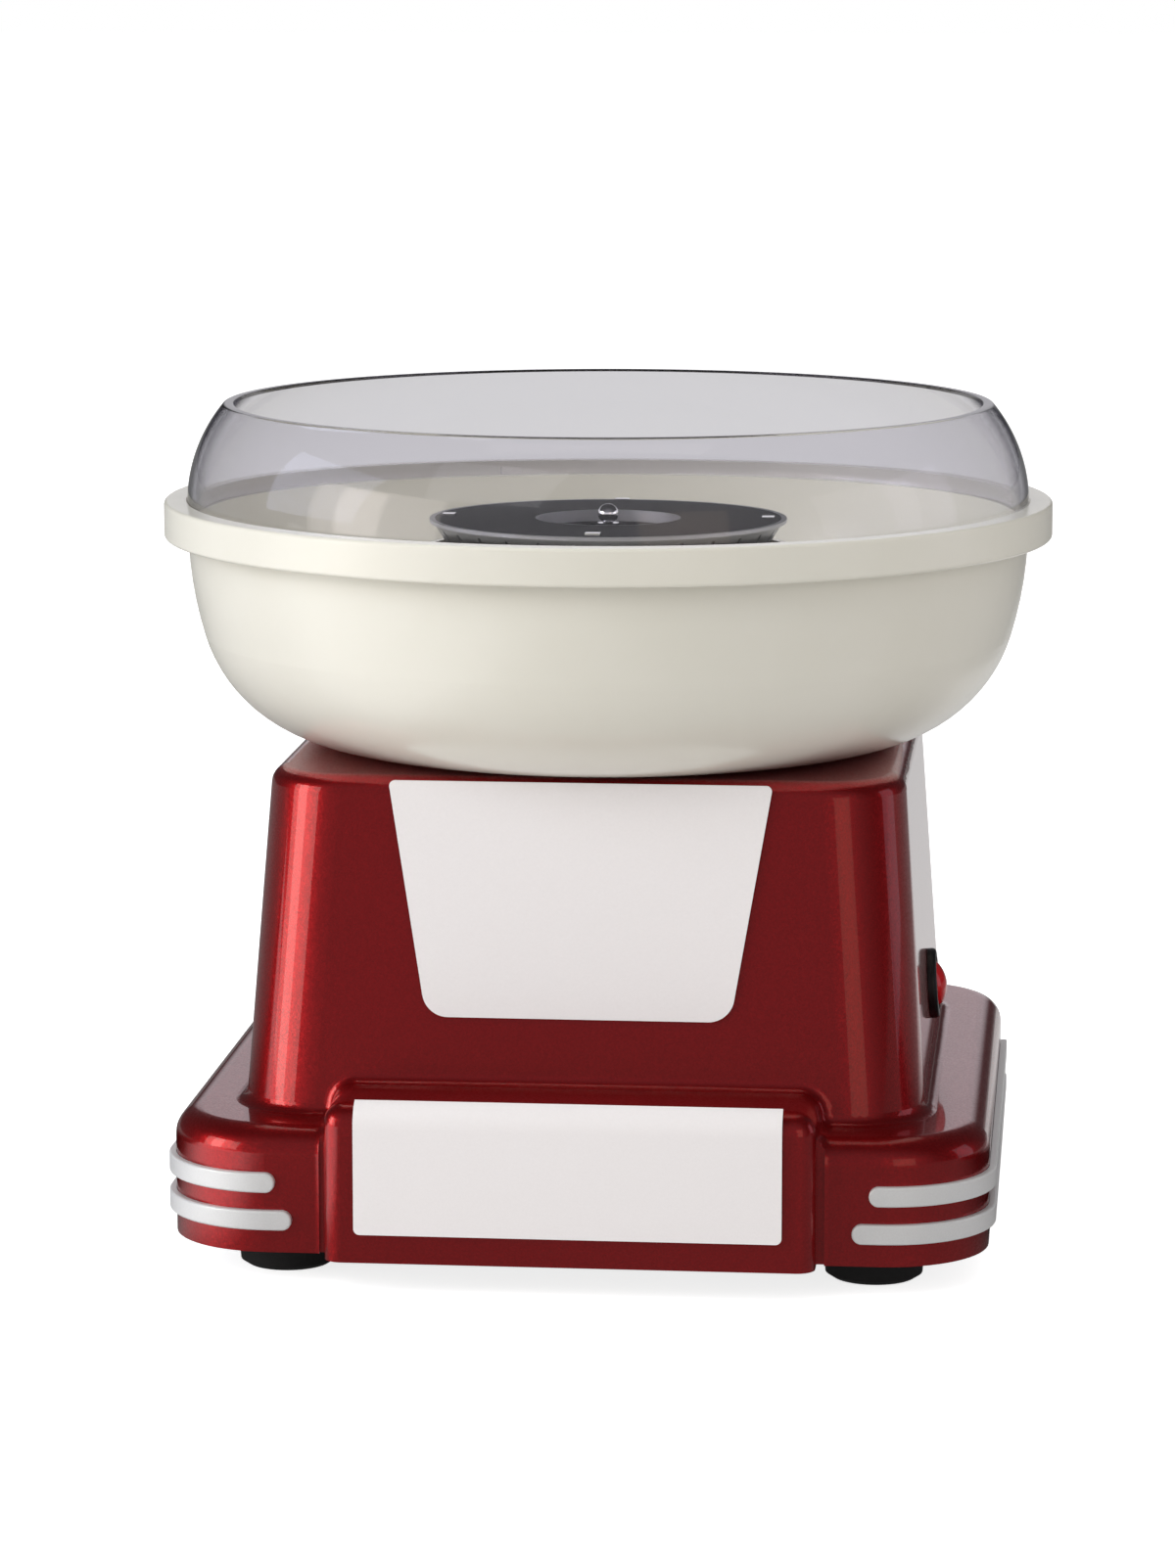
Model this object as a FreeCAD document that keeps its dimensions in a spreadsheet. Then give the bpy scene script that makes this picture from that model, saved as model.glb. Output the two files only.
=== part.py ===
import FreeCAD, Part
import math
import os
import re

import Sketcher

# A tabletop cotton candy machine. Millimetres, +Z up, the front faces -Y and the switch +X.
# The origin lies on the table, on the axis of the bowl, the spinning head and the motor.

# Driving sizes, in millimetres unless the comment says degrees or a count.
SIZES = {
    # feet
    "foot_height": 10.7,
    "foot_radius": 16.6,
    "foot_edge": 1.5,
    "foot_recess_depth": 5.7,
    "foot_side_inset": 37.15,
    "foot_end_inset": 31.5,
    # red housing: plinth
    "shell_wall": 2.5,
    "plinth_half_width": 133.4,
    "plinth_front": 129.0,
    "plinth_rear": 134.0,
    "plinth_corner": 34.0,
    "plinth_height": 41.0,
    "plinth_edge": 8.5,
    # red housing: block between the front fenders
    "fender_flat": 20.4,
    "block_reach": 11.0,
    "block_rise": 10.6,
    "block_roof": 4.0,
    "block_edge": 6.0,
    "block_nose": 7.0,
    "fender_groove_width": 2.5,
    "fender_groove_depth": 1.6,
    # red housing: tower
    "tower_rise": 110.0,
    "side_ledge": 21.4,
    "side_lean": 7.9,
    "front_ledge": 21.3,
    "front_lean": 11.7,
    "rear_ledge": 28.0,
    "rear_lean": 7.0,
    "tower_corner": 26.0,
    "tower_edge": 6.0,
    "tower_root": 4.0,
    "deck_hole_inset": 4.0,
    "deck_ring_gap": 3.4,
    "deck_ring_wall": 3.0,
    "deck_ring_height": 3.0,
    "deck_ring_play": 1.0,
    "deck_boss_radius": 3.4,
    "deck_boss_depth": 8.0,
    # bottom cover
    "cover_thickness": 2.5,
    "cover_gap": 0.3,
    "post_radius": 4.0,
    "post_inset": 18.0,
    "vent_count": 9.0,
    "vent_pitch": 8.0,
    "vent_width": 3.0,
    "vent_length": 60.0,
    "vent_rear_start": 28.0,
    "foot_boss_radius": 4.5,
    "foot_boss_height": 9.0,
    # self-tapping screws
    "screw_radius": 1.6,
    "screw_slack": 0.06,
    "screw_head_radius": 3.2,
    "screw_head_height": 2.2,
    "screw_head_side": 1.1,
    "screw_head_flat": 2.2,
    "screw_length": 10.0,
    # white plates
    "skin_gap": 0.1,
    "panel_thickness": 1.5,
    "panel_foot_rise": 32.7,
    "panel_top_inset": 0.6,
    "panel_top_half_width": 62.4,
    "panel_foot_half_width": 49.5,
    "panel_foot_corner": 8.5,
    "panel_top_corner": 1.8,
    "nameplate_thickness": 1.6,
    "nameplate_side_inset": 10.4,
    "nameplate_foot_rise": 9.7,
    "nameplate_bend_angle": 70.0,  # degrees
    "nameplate_corner": 2.0,
    # trim strips
    "strip_height": 6.5,
    "strip_proud": 2.2,
    "strip_edge": 0.7,
    "strip_upper_rise": 23.3,
    "strip_lower_rise": 10.9,
    "strip_upper_lead": 3.7,
    "strip_lower_lead": 9.1,
    "strip_rear_inset": 34.5,
    # cord gland in the rear wall
    "gland_x": -60.0,
    "gland_rise": 18.0,
    "gland_bore": 3.6,
    "gland_neck": 6.4,
    "gland_flange": 9.0,
    "gland_flange_depth": 2.6,
    "gland_inside": 8.0,
    # round rocker switch in the right side
    "switch_rise": 24.5,
    "switch_y": 5.0,
    "bezel_flange": 2.0,
    "bezel_depth": 3.0,
    "bezel_rim": 1.4,
    "barrel_radius": 10.0,
    "barrel_length": 15.0,
    "barrel_floor": 1.5,
    "barrel_wall": 0.9,
    "rocker_gap": 0.3,
    "rocker_pivot_depth": 1.5,
    "rocker_tail": 3.5,
    "rocker_shoulder": 3.2,
    "rocker_crown": 6.0,
    "rocker_pin_radius": 1.0,
    "rocker_pin_slack": 0.06,
    "rocker_tilt_angle": 8.0,  # degrees
    "blade_length": 8.0,
    "blade_width": 4.8,
    "blade_thickness": 0.8,
    # heater housing and what it carries
    "heater_radius": 52.0,
    "heater_wall": 2.5,
    "heater_flange_width": 8.0,
    "heater_rise": 61.0,
    "heater_depth": 37.0,
    "pan_rise": 13.5,
    "pan_sheet": 1.0,
    "pan_sleeve_radius": 18.0,
    "pan_slope": 3.5,
    "pan_rim_drop": 3.0,
    "element_inset": 6.0,
    "element_tube": 3.2,
    "element_drop": 9.0,
    "element_gap_angle": 50.0,  # degrees
    "element_tail": 9.0,
    "bush_wall": 2.4,
    "bush_reach": 4.0,
    "bush_collar": 1.0,
    "clip_width": 9.0,
    "clip_thickness": 2.0,
    "clip_slack": 0.1,
    "cutout_radius": 7.0,
    "cutout_height": 6.0,
    "cutout_rim": 1.5,
    "cutout_inset": 17.5,
    # motor
    "motor_radius": 18.0,
    "motor_length": 55.0,
    "motor_wall": 1.2,
    "motor_boss_radius": 6.5,
    "motor_boss_height": 3.2,
    "bearing_radius": 4.5,
    "bearing_length": 6.0,
    "bell_thickness": 4.0,
    "bell_spigot": 3.0,
    "bell_boss_height": 4.0,
    "magnet_thickness": 3.3,
    "magnet_length": 32.0,
    "magnet_angle": 130.0,  # degrees
    "air_gap": 0.8,
    "rotor_length": 30.0,
    "rotor_slot_count": 5.0,
    "rotor_slot_width": 2.9,
    "rotor_slot_depth": 5.1,
    "commutator_radius": 4.6,
    "commutator_length": 8.0,
    "commutator_gap": 1.0,
    "shaft_radius": 2.5,
    "shaft_slack": 0.05,
    "shaft_end_play": 0.5,
    "shaft_chamfer": 0.75,
    "drive_pin_radius": 1.5,
    "drive_pin_slack": 0.02,
    # spinning head
    "head_overhang": 8.5,
    "head_running_gap": 3.0,
    "head_sheet": 1.2,
    "head_height": 10.5,
    "plate_overhang": 1.2,
    "band_wall": 1.0,
    "band_flare": 5.0,
    "band_slot_count": 30.0,
    "band_slot_width": 1.2,
    "band_slot_height": 5.0,
    "well_radius": 24.0,
    "well_depth": 4.0,
    "sugar_hole_count": 6.0,
    "sugar_hole_radius": 2.4,
    "sugar_hole_circle": 15.0,
    "head_hub_radius": 7.0,
    "head_hub_drop": 16.0,
    "head_hub_flange": 12.0,
    "head_hub_flange_depth": 2.0,
    "hub_neck_radius": 5.0,
    "pin_slot_slack": 0.2,
    "knob_radius": 3.5,
    "knob_sink": 0.35,
    "knob_stem": 1.6,
    "knob_collar": 3.6,
    "knob_collar_height": 2.2,
    "tab_count": 4.0,
    "tab_width": 5.0,
    "tab_thickness": 0.8,
    "tab_lap": 3.4,
    "tab_slack": 0.15,
    # bowl
    "seat_gap": 0.3,
    "rim_radius": 150.0,
    "rim_height": 81.5,
    "rim_skirt": 12.3,
    "rim_overhang": 8.0,
    "rim_land": 7.4,
    "rim_round": 1.2,
    "bowl_wall": 2.5,
    "bowl_side_run": 61.3,
    "bowl_turn_radius": 50.0,
    "hub_over": 2.6,
    "hub_mouth_gap": 1.6,
    "guard_seat_depth": 5.8,
    "guard_slack": 0.4,
    # splash guard
    "guard_wall": 2.6,
    "guard_lean": 12.7,
    "guard_height": 38.0,
    "guard_upright": 4.0,
    "guard_lug_width": 8.0,
    "guard_lug_height": 3.0,
    "guard_lug_thickness": 1.2,
    "guard_lug_turn_angle": 110.0,  # degrees
    # power board and terminals on the bottom cover
    "board_x": 45.0,
    "board_y": -50.0,
    "board_length": 50.0,
    "board_width": 36.0,
    "board_thickness": 1.6,
    "board_rise": 6.0,
    "standoff_radius": 3.0,
    "standoff_inset": 4.0,
    "bridge_size": 14.0,
    "bridge_height": 5.0,
    "bridge_inset": 7.5,
    "capacitor_radius": 6.5,
    "capacitor_height": 18.0,
    "capacitor_inset": 12.5,
    "terminal_x": -50.0,
    "terminal_length": 36.0,
    "terminal_width": 18.0,
    "terminal_height": 12.0,
    "terminal_count": 3.0,
    "terminal_pitch": 11.0,
    "terminal_hole": 2.6,
    "terminal_depth": 7.0,
}

# Heights above the table
COVER_TOP = "(foot_height + cover_thickness)"
PLINTH_TOP = "(foot_height + plinth_height)"
PLINTH_ROOF = f"({PLINTH_TOP} - shell_wall)"
BLOCK_TOP = f"({PLINTH_TOP} + block_rise)"
DECK = f"({PLINTH_TOP} + tower_rise)"
SWITCH_HEIGHT = f"({PLINTH_TOP} + switch_rise)"
PANEL_FOOT = f"({PLINTH_TOP} + panel_foot_rise)"
PANEL_LENGTH = "(tower_rise - panel_foot_rise - panel_top_inset)"
NAMEPLATE_FOOT = "(foot_height + nameplate_foot_rise)"
GLAND_HEIGHT = "(foot_height + gland_rise)"
HEATER_TOP = f"({DECK} + heater_rise)"
HEATER_FLOOR = f"({HEATER_TOP} - heater_depth)"
HEATER_FLOOR_TOP = f"({HEATER_FLOOR} + heater_wall)"
PAN_FLOOR = f"({HEATER_FLOOR_TOP} + pan_rise)"
PAN_FLOOR_TOP = f"({PAN_FLOOR} + pan_sheet)"
PAN_RIM = f"({HEATER_TOP} - pan_rim_drop)"
ELEMENT_HEIGHT = f"({HEATER_TOP} - element_drop)"
MOTOR_BOTTOM = f"({HEATER_FLOOR} - motor_length)"
BELL_BOTTOM = f"({MOTOR_BOTTOM} - bell_thickness)"
BELL_BOSS_BOTTOM = f"({BELL_BOTTOM} - bell_boss_height)"
LOWER_BEARING = f"({BELL_BOTTOM} - 0.5 * bell_boss_height)"
UPPER_BEARING = f"({HEATER_FLOOR} + motor_boss_height - bearing_length)"
MAGNET_BOTTOM = f"({MOTOR_BOTTOM} + 0.5 * (motor_length - magnet_length))"
ROTOR_BOTTOM = f"({MAGNET_BOTTOM} + 0.5 * (magnet_length - rotor_length))"
HEAD_FLOOR = f"({HEATER_TOP} + head_running_gap)"
HEAD_FLOOR_TOP = f"({HEAD_FLOOR} + head_sheet)"
HEAD_TOP = f"({HEAD_FLOOR} + head_height)"
PLATE_BOTTOM = f"({HEAD_TOP} - head_sheet)"
WELL_TOP = f"({HEAD_TOP} - well_depth)"
WELL_BOTTOM = f"({WELL_TOP} - head_sheet)"
HEAD_HUB_BOTTOM = f"({HEAD_FLOOR} - head_hub_drop)"
DRIVE_PIN_HEIGHT = f"({HEAD_HUB_BOTTOM} + 0.25 * head_hub_drop)"
SHAFT_TOP = f"({HEAD_FLOOR} + 0.5 * head_sheet)"
BOWL_SEAT = f"({DECK} + seat_gap)"
RIM_TOP = f"({DECK} + rim_height)"
RIM_SKIRT_BOTTOM = f"({RIM_TOP} - rim_skirt)"
GUARD_LEDGE = f"({RIM_TOP} - guard_seat_depth)"
BELLY = f"({GUARD_LEDGE} - bowl_wall)"
HUB_TOP = f"({HEATER_TOP} + hub_over)"
GUARD_BOTTOM = f"({GUARD_LEDGE} + seat_gap)"

# Places in plan
PLINTH_SIDE_CENTRE = "(plinth_half_width - plinth_corner)"
PLINTH_FRONT_CENTRE = "(plinth_front - plinth_corner)"
BLOCK_FRONT = "(plinth_front + block_reach)"
BLOCK_HALF_WIDTH = f"({PLINTH_SIDE_CENTRE} - fender_flat)"
NAMEPLATE_HALF_WIDTH = f"({BLOCK_HALF_WIDTH} - nameplate_side_inset)"
TOWER_BASE_HALF_WIDTH = "(plinth_half_width - side_ledge)"
TOWER_BASE_FRONT = "(plinth_front - front_ledge)"
TOWER_BASE_REAR = "(plinth_rear - rear_ledge)"
FOOT_X = "(plinth_half_width - foot_side_inset)"
FOOT_FRONT_Y = "(plinth_front - foot_end_inset)"
FOOT_REAR_Y = "(plinth_rear - foot_end_inset)"
STRIP_REAR_END = "(plinth_rear - strip_rear_inset)"
POST_X = "(plinth_half_width - post_inset)"
POST_FRONT_Y = "(plinth_front - post_inset)"
POST_REAR_Y = "(plinth_rear - post_inset)"
SCREW_HOLE = "(screw_radius + screw_slack)"
SHAFT_BORE = "(shaft_radius + shaft_slack)"

# Radii that follow from the heater, outwards to the bowl's hub and inwards to the motor
HEATER_INNER = "(heater_radius - heater_wall)"
HEATER_FLANGE = "(heater_radius + heater_flange_width)"
HEATER_SCREW_CIRCLE = f"(0.5 * (heater_radius + {HEATER_FLANGE}))"
DECK_RING_OUTER = f"({HEATER_FLANGE} + deck_ring_gap + deck_ring_wall)"
HUB_FOOT = f"({DECK_RING_OUTER} + deck_ring_play)"
HEAD_RADIUS = "(heater_radius + head_overhang)"
BAND_RADIUS = f"({HEAD_RADIUS} - plate_overhang)"
BAND_FOOT = f"({BAND_RADIUS} - band_flare)"
HUB_MOUTH = f"({HEAD_RADIUS} + hub_mouth_gap)"
PAN_FLOOR_RADIUS = f"({HEATER_INNER} - pan_slope)"
ELEMENT_RADIUS = f"({PAN_FLOOR_RADIUS} - element_inset)"
BUSH_RADIUS = "(element_tube + bush_wall)"
MOTOR_SCREW_CIRCLE = "(0.5 * (motor_boss_radius + motor_radius))"
CAN_INNER = "(motor_radius - motor_wall)"

# Radii of the switch, and of the guard's seat in the bowl's rim
BEZEL_RADIUS = "(barrel_radius + bezel_flange)"
WINDOW_RADIUS = "(barrel_radius - barrel_wall)"
ROCKER_RADIUS = f"({WINDOW_RADIUS} - rocker_gap)"
SEAT_RADIUS = "(rim_radius - rim_land)"
GUARD_RADIUS = f"({SEAT_RADIUS} - guard_slack)"

# Slopes of the tower's faces
SIDE_SLOPE = "(side_lean / tower_rise)"
FRONT_SLOPE = "(front_lean / tower_rise)"
REAR_SLOPE = "(rear_lean / tower_rise)"

LEFT = 1
RIGHT = -1
TINY = 0.001

# How far a cut starts or ends outside the wall that it goes through
PAST = "1"

# The share of a height that each corner of a round end takes, which leaves a sliver of flat between them
ROUND_END = "0.49"

doc = FreeCAD.newDocument("cotton_candy_machine")
sheet = doc.addObject("Spreadsheet::Sheet", "Sizes")
for row, (alias, size) in enumerate(SIZES.items(), start=1):
    sheet.set(f"A{row}", alias)
    sheet.set(f"B{row}", str(size))
    sheet.setAlias(f"B{row}", alias)
doc.recompute()

nodes = []


# ---------------------------------------------------------------- helpers


def linked(formula):
    """Point each size's name in a formula at its cell of the sheet."""
    return re.sub(r"[a-z_]+", lambda word: f"Sizes.{word[0]}" if word[0] in SIZES else word[0], formula)


def number(formula):
    """What a formula comes to with the sizes in the sheet."""
    return float(sheet.evalExpression(formula))


def bind(thing, **formulas):
    """Bind properties of an object to formulas of the sheet's sizes."""
    for name, formula in formulas.items():
        thing.setExpression(name, linked(formula))


def place(thing, x="0", y="0", z="0", axis=(0, 0, 1), angle="0"):
    """Bind an object's Placement: where its own origin lies and how it is turned."""
    thing.Placement = FreeCAD.Placement(FreeCAD.Vector(), FreeCAD.Rotation(FreeCAD.Vector(*axis), 1))
    for path, formula in (("Base.x", x), ("Base.y", y), ("Base.z", z), ("Rotation.Angle", angle)):
        thing.setExpression(f"Placement.{path}", linked(formula))


def node(thing, label):
    """Name an object as one of the machine's pieces."""
    thing.Label = label
    nodes.append(thing)
    return thing


def new_body(name):
    return doc.addObject("PartDesign::Body", name)


def origin_part(body, role):
    return next(item for item in body.Origin.OriginFeatures if item.Role == role)


def new_sketch(body, plane, lift="0"):
    """A sketch on one of the body's own planes, lifted along that plane's normal."""
    sketch = body.newObject("Sketcher::SketchObject", "outline")
    sketch.AttachmentSupport = [(origin_part(body, plane), "")]
    sketch.MapMode = "FlatFace"
    sketch.setExpression("AttachmentOffset.Base.z", linked(lift))
    return sketch


def fix_point(sketch, geometry, end, x, y):
    """Hold a point of a sketch at (x, y), both given as formulas."""
    for kind, formula, axis in (("DistanceX", x, -2), ("DistanceY", y, -1)):
        if formula == "0":
            sketch.addConstraint(Sketcher.Constraint("PointOnObject", geometry, end, axis))
        else:
            rule = Sketcher.Constraint(kind, -1, 1, geometry, end, number(formula))
            index = sketch.addConstraint(rule)
            sketch.setExpression(f"Constraints[{index}]", linked(formula))


def arc_between(start, finish, radius, turn):
    """The short arc from start to finish that turns LEFT or RIGHT, always drawn anticlockwise."""
    chord = finish - start
    left = FreeCAD.Vector(-chord.y, chord.x, 0).normalize()
    sagitta_side = math.sqrt(max(radius**2 - (chord.Length / 2) ** 2, 0))
    centre = (start + finish) * 0.5 + left * (turn * sagitta_side)
    first, last = (start, finish) if turn == LEFT else (finish, start)
    angles = [math.atan2(point.y - centre.y, point.x - centre.x) for point in (first, last)]
    if angles[1] < angles[0]:
        angles[1] += 2 * math.pi
    return Part.ArcOfCircle(Part.Circle(centre, FreeCAD.Vector(0, 0, 1), radius), *angles)


def draw(sketch, corners):
    """Draw a closed outline.

    A corner (x, y) is followed by a straight edge, a corner (x, y, radius, turn) by an arc.
    """
    points = [FreeCAD.Vector(number(corner[0]), number(corner[1]), 0) for corner in corners]
    edges = []
    for index, corner in enumerate(corners):
        start = points[index]
        finish = points[(index + 1) % len(points)]
        if len(corner) == 2:
            edge = sketch.addGeometry(Part.LineSegment(start, finish), False)
            edges.append((edge, 1, 2))
            continue
        _, _, radius, turn = corner
        edge = sketch.addGeometry(arc_between(start, finish, number(radius), turn), False)
        edges.append((edge, 1, 2) if turn == LEFT else (edge, 2, 1))
        rule = sketch.addConstraint(Sketcher.Constraint("Radius", edge, number(radius)))
        sketch.setExpression(f"Constraints[{rule}]", linked(radius))
    for index, (edge, start_end, _) in enumerate(edges):
        previous, _, finish_end = edges[index - 1]
        sketch.addConstraint(Sketcher.Constraint("Coincident", previous, finish_end, edge, start_end))
        fix_point(sketch, edge, start_end, corners[index][0], corners[index][1])


def draw_circle(sketch, radius, x="0", y="0"):
    centre = FreeCAD.Vector(number(x), number(y), 0)
    circle = Part.Circle(centre, FreeCAD.Vector(0, 0, 1), number(radius))
    edge = sketch.addGeometry(circle, False)
    rule = sketch.addConstraint(Sketcher.Constraint("Radius", edge, number(radius)))
    sketch.setExpression(f"Constraints[{rule}]", linked(radius))
    fix_point(sketch, edge, 3, x, y)


def draw_box(sketch, left, right, low, high):
    draw(sketch, [(left, low), (right, low), (right, high), (left, high)])


def draw_rounded(sketch, left, right, low, high, corner):
    """A rectangle with four round corners."""
    draw(
        sketch,
        [
            (f"{left} + {corner}", low),
            (f"{right} - {corner}", low, corner, LEFT),
            (right, f"{low} + {corner}"),
            (right, f"{high} - {corner}", corner, LEFT),
            (f"{right} - {corner}", high),
            (f"{left} + {corner}", high, corner, LEFT),
            (left, f"{high} - {corner}"),
            (left, f"{low} + {corner}", corner, LEFT),
        ],
    )


def extrude(body, sketch, length, kind="Pad", backwards=False):
    """Pad or Pocket a sketch by a length, and make sure that a pocket did cut."""
    doc.recompute()
    before = body.Shape.Volume if kind == "Pocket" else 0
    feature = body.newObject(f"PartDesign::{kind}", kind.lower())
    feature.Profile = sketch
    feature.Reversed = backwards
    bind(feature, Length=length)
    doc.recompute()
    if kind == "Pocket" and feature.Shape.Volume > before - TINY:
        raise RuntimeError(f"a pocket of {body.Label} cut nothing")
    return feature


def pocket(body, sketch, length, backwards=False):
    return extrude(body, sketch, length, "Pocket", backwards)


def spin(body, sketch, kind="Revolution", angle="360"):
    """Turn a sketch of the XZ plane about the Z axis."""
    feature = body.newObject(f"PartDesign::{kind}", kind.lower())
    feature.Profile = sketch
    feature.ReferenceAxis = (sketch, ["V_Axis"])
    bind(feature, Angle=angle)
    doc.recompute()
    return feature


def turned(name, corners):
    """A body turned from a half section of (radius, height) corners."""
    body = new_body(name)
    sketch = new_sketch(body, "XZ_Plane")
    draw(sketch, corners)
    spin(body, sketch)
    return body


def repeat_round(body, feature, count, angle="360"):
    """Repeat a feature round the body's Z axis."""
    pattern = body.newObject("PartDesign::PolarPattern", "round")
    pattern.Originals = [feature]
    pattern.Axis = (origin_part(body, "Z_Axis"), [""])
    bind(pattern, Angle=angle, Occurrences=count)
    body.Tip = pattern
    doc.recompute()
    return pattern


def repeat_line(body, feature, axis, count, pitch):
    """Repeat a feature along one of the body's axes."""
    pattern = body.newObject("PartDesign::LinearPattern", "line")
    pattern.Originals = [feature]
    pattern.Direction = (origin_part(body, axis), [""])
    bind(pattern, Length=f"({count} - 1) * {pitch}", Occurrences=count)
    body.Tip = pattern
    doc.recompute()
    return pattern


def round_edges(body, radius, chosen):
    """Fillet the edges of the body that the chosen function accepts."""
    tip = body.Tip
    names = [f"Edge{index}" for index, edge in enumerate(tip.Shape.Edges, start=1) if chosen(edge)]
    if not names:
        raise RuntimeError(f"no edge of {body.Label} to round by {radius}")
    fillet = body.newObject("PartDesign::Fillet", "fillet")
    fillet.Base = (tip, names)
    bind(fillet, Radius=radius)
    doc.recompute()
    return fillet


def near(value, formula):
    return abs(value - number(formula)) < 0.01


def middle_of(edge):
    return edge.valueAt(0.5 * (edge.FirstParameter + edge.LastParameter))


def flat_at(edge, height):
    """Whether an edge lies in the horizontal plane at a height."""
    ends = [vertex.Z for vertex in edge.Vertexes]
    return all(near(z, height) for z in [*ends, middle_of(edge).z])


def copies(label, original, places):
    """One node of separate solids: the original at each of some places."""
    links = []
    for spot in places:
        link = doc.addObject("App::Link", "copy")
        link.LinkedObject = original
        place(link, **spot)
        links.append(link)
    group = doc.addObject("Part::Compound", label)
    group.Links = links
    return node(group, label)


def corners_of(x, front, rear):
    """The four places at plus and minus x, at -front and +rear."""
    return [{"x": side + x, "y": y} for side in ("-", "") for y in (f"-{front}", rear)]


def at_height(places, height):
    return [{**spot, "z": height} for spot in places]


def on_circle(radius, count, first="0"):
    """Places evenly spaced on a circle about the Z axis, each turned to face outwards."""
    places = []
    for index in range(count):
        turn = f"({first} + {index} * 360 / {count})"
        places.append({"x": f"{radius} * cos({turn})", "y": f"{radius} * sin({turn})", "angle": turn})
    return places


def screw(name, length="screw_length"):
    """A pan head screw that points down, with the underside of its head at the origin."""
    body = turned(
        name,
        [
            ("0", f"-{length}"),
            ("screw_radius", f"-{length}"),
            ("screw_radius", "0"),
            ("screw_head_radius", "0"),
            ("screw_head_radius", "screw_head_side"),
            ("screw_head_flat", "screw_head_height"),
            ("0", "screw_head_height"),
        ],
    )
    return body


# ---------------------------------------------------------------- red housing


def tower_at(height, inset="0"):
    """Half width, front and rear of the tower at a height, less an inset."""
    climb = f"({height} - {PLINTH_TOP})"
    return (
        f"({TOWER_BASE_HALF_WIDTH} - {climb} * {SIDE_SLOPE} - {inset})",
        f"({TOWER_BASE_FRONT} - {climb} * {FRONT_SLOPE} - {inset})",
        f"({TOWER_BASE_REAR} - {climb} * {REAR_SLOPE} - {inset})",
    )


def tower_loft(body, kind, low, high, inset):
    """Loft the tower's rounded section between two heights, as wall or as hollow."""
    sections = []
    for height in (low, high):
        half_width, front, rear = tower_at(height, inset)
        sketch = new_sketch(body, "XY_Plane", height)
        corner = f"(tower_corner - {inset})"
        draw_rounded(sketch, f"-{half_width}", half_width, f"-{front}", rear, corner)
        sections.append(sketch)
    doc.recompute()
    loft = body.newObject(f"PartDesign::{kind}", kind)
    loft.Profile = sections[0]
    loft.Sections = sections[1:]
    loft.Ruled = True
    doc.recompute()
    return loft


def plinth_outline(sketch, inset="0"):
    half_width = f"(plinth_half_width - {inset})"
    front = f"-(plinth_front - {inset})"
    rear = f"(plinth_rear - {inset})"
    draw_rounded(sketch, f"-{half_width}", half_width, front, rear, f"(plinth_corner - {inset})")


def block_outline(sketch, inset="0"):
    """The front block in plan, which runs back under the tower."""
    half_width = f"({BLOCK_HALF_WIDTH} - {inset})"
    front = f"-({BLOCK_FRONT} - {inset})"
    draw_box(sketch, f"-{half_width}", half_width, front, f"-({TOWER_BASE_FRONT} - front_lean - shell_wall)")


def housing():
    """The red moulding: a plinth, a drafted tower and the block between the fenders, all hollow."""
    body = new_body("housing")
    sketch = new_sketch(body, "XY_Plane", "foot_height")
    plinth_outline(sketch)
    extrude(body, sketch, "plinth_height")
    round_edges(body, "plinth_edge", lambda edge: flat_at(edge, PLINTH_TOP))
    tower_loft(body, "AdditiveLoft", PLINTH_TOP, DECK, "0")
    round_edges(body, "tower_edge", lambda edge: flat_at(edge, DECK))
    round_edges(body, "tower_root", is_tower_root)
    add_block(body)
    groove_fenders(body)
    hollow_housing(body)
    add_deck(body)
    add_posts(body)
    open_walls(body)
    return node(body, "housing")


def is_tower_root(edge):
    """Whether an edge lies where the tower grows out of the plinth."""
    middle = middle_of(edge)
    inside = abs(middle.x) < number(f"{TOWER_BASE_HALF_WIDTH} + tower_root")
    behind_front = middle.y > number(f"-{TOWER_BASE_FRONT} - tower_root")
    before_rear = middle.y < number(f"{TOWER_BASE_REAR} + tower_root")
    return flat_at(edge, PLINTH_TOP) and inside and behind_front and before_rear


def add_block(body):
    """The block between the fenders, with round upright edges and a round nose."""

    def upright(edge):
        box = edge.BoundBox
        return box.ZLength > number("plinth_height") and near(middle_of(edge).y, f"-{BLOCK_FRONT}")

    def top(edge):
        return flat_at(edge, BLOCK_TOP) and middle_of(edge).y < number(f"-{TOWER_BASE_FRONT}")

    def root(edge):
        return flat_at(edge, BLOCK_TOP) and not top(edge)

    sketch = new_sketch(body, "XY_Plane", "foot_height")
    block_outline(sketch)
    extrude(body, sketch, "(plinth_height + block_rise)")
    round_edges(body, "block_edge", upright)
    round_edges(body, "block_nose", top)
    round_edges(body, "tower_root", root)


def groove_fenders(body):
    """The narrow upright groove between the block and the fender on each side."""
    sketch = new_sketch(body, "XY_Plane", "foot_height")
    outer = f"({BLOCK_HALF_WIDTH} + fender_groove_width)"
    back = "-(plinth_front - fender_groove_depth)"
    for near_x, far_x in ((BLOCK_HALF_WIDTH, outer), (f"-{outer}", f"-{BLOCK_HALF_WIDTH}")):
        draw_box(sketch, near_x, far_x, "-(plinth_front + block_edge)", back)
    pocket(body, sketch, "plinth_height", backwards=True)


def hollow_housing(body):
    """Open the shell from below, a wall's thickness inside the outer faces."""
    sketch = new_sketch(body, "XY_Plane", "foot_height")
    plinth_outline(sketch, "shell_wall")
    pocket(body, sketch, "(plinth_height - shell_wall)", backwards=True)
    sketch = new_sketch(body, "XY_Plane", "foot_height")
    block_outline(sketch, "shell_wall")
    pocket(body, sketch, "(plinth_height + block_rise - block_roof)", backwards=True)
    tower_loft(body, "SubtractiveLoft", PLINTH_ROOF, f"({DECK} - shell_wall)", "shell_wall")


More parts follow.
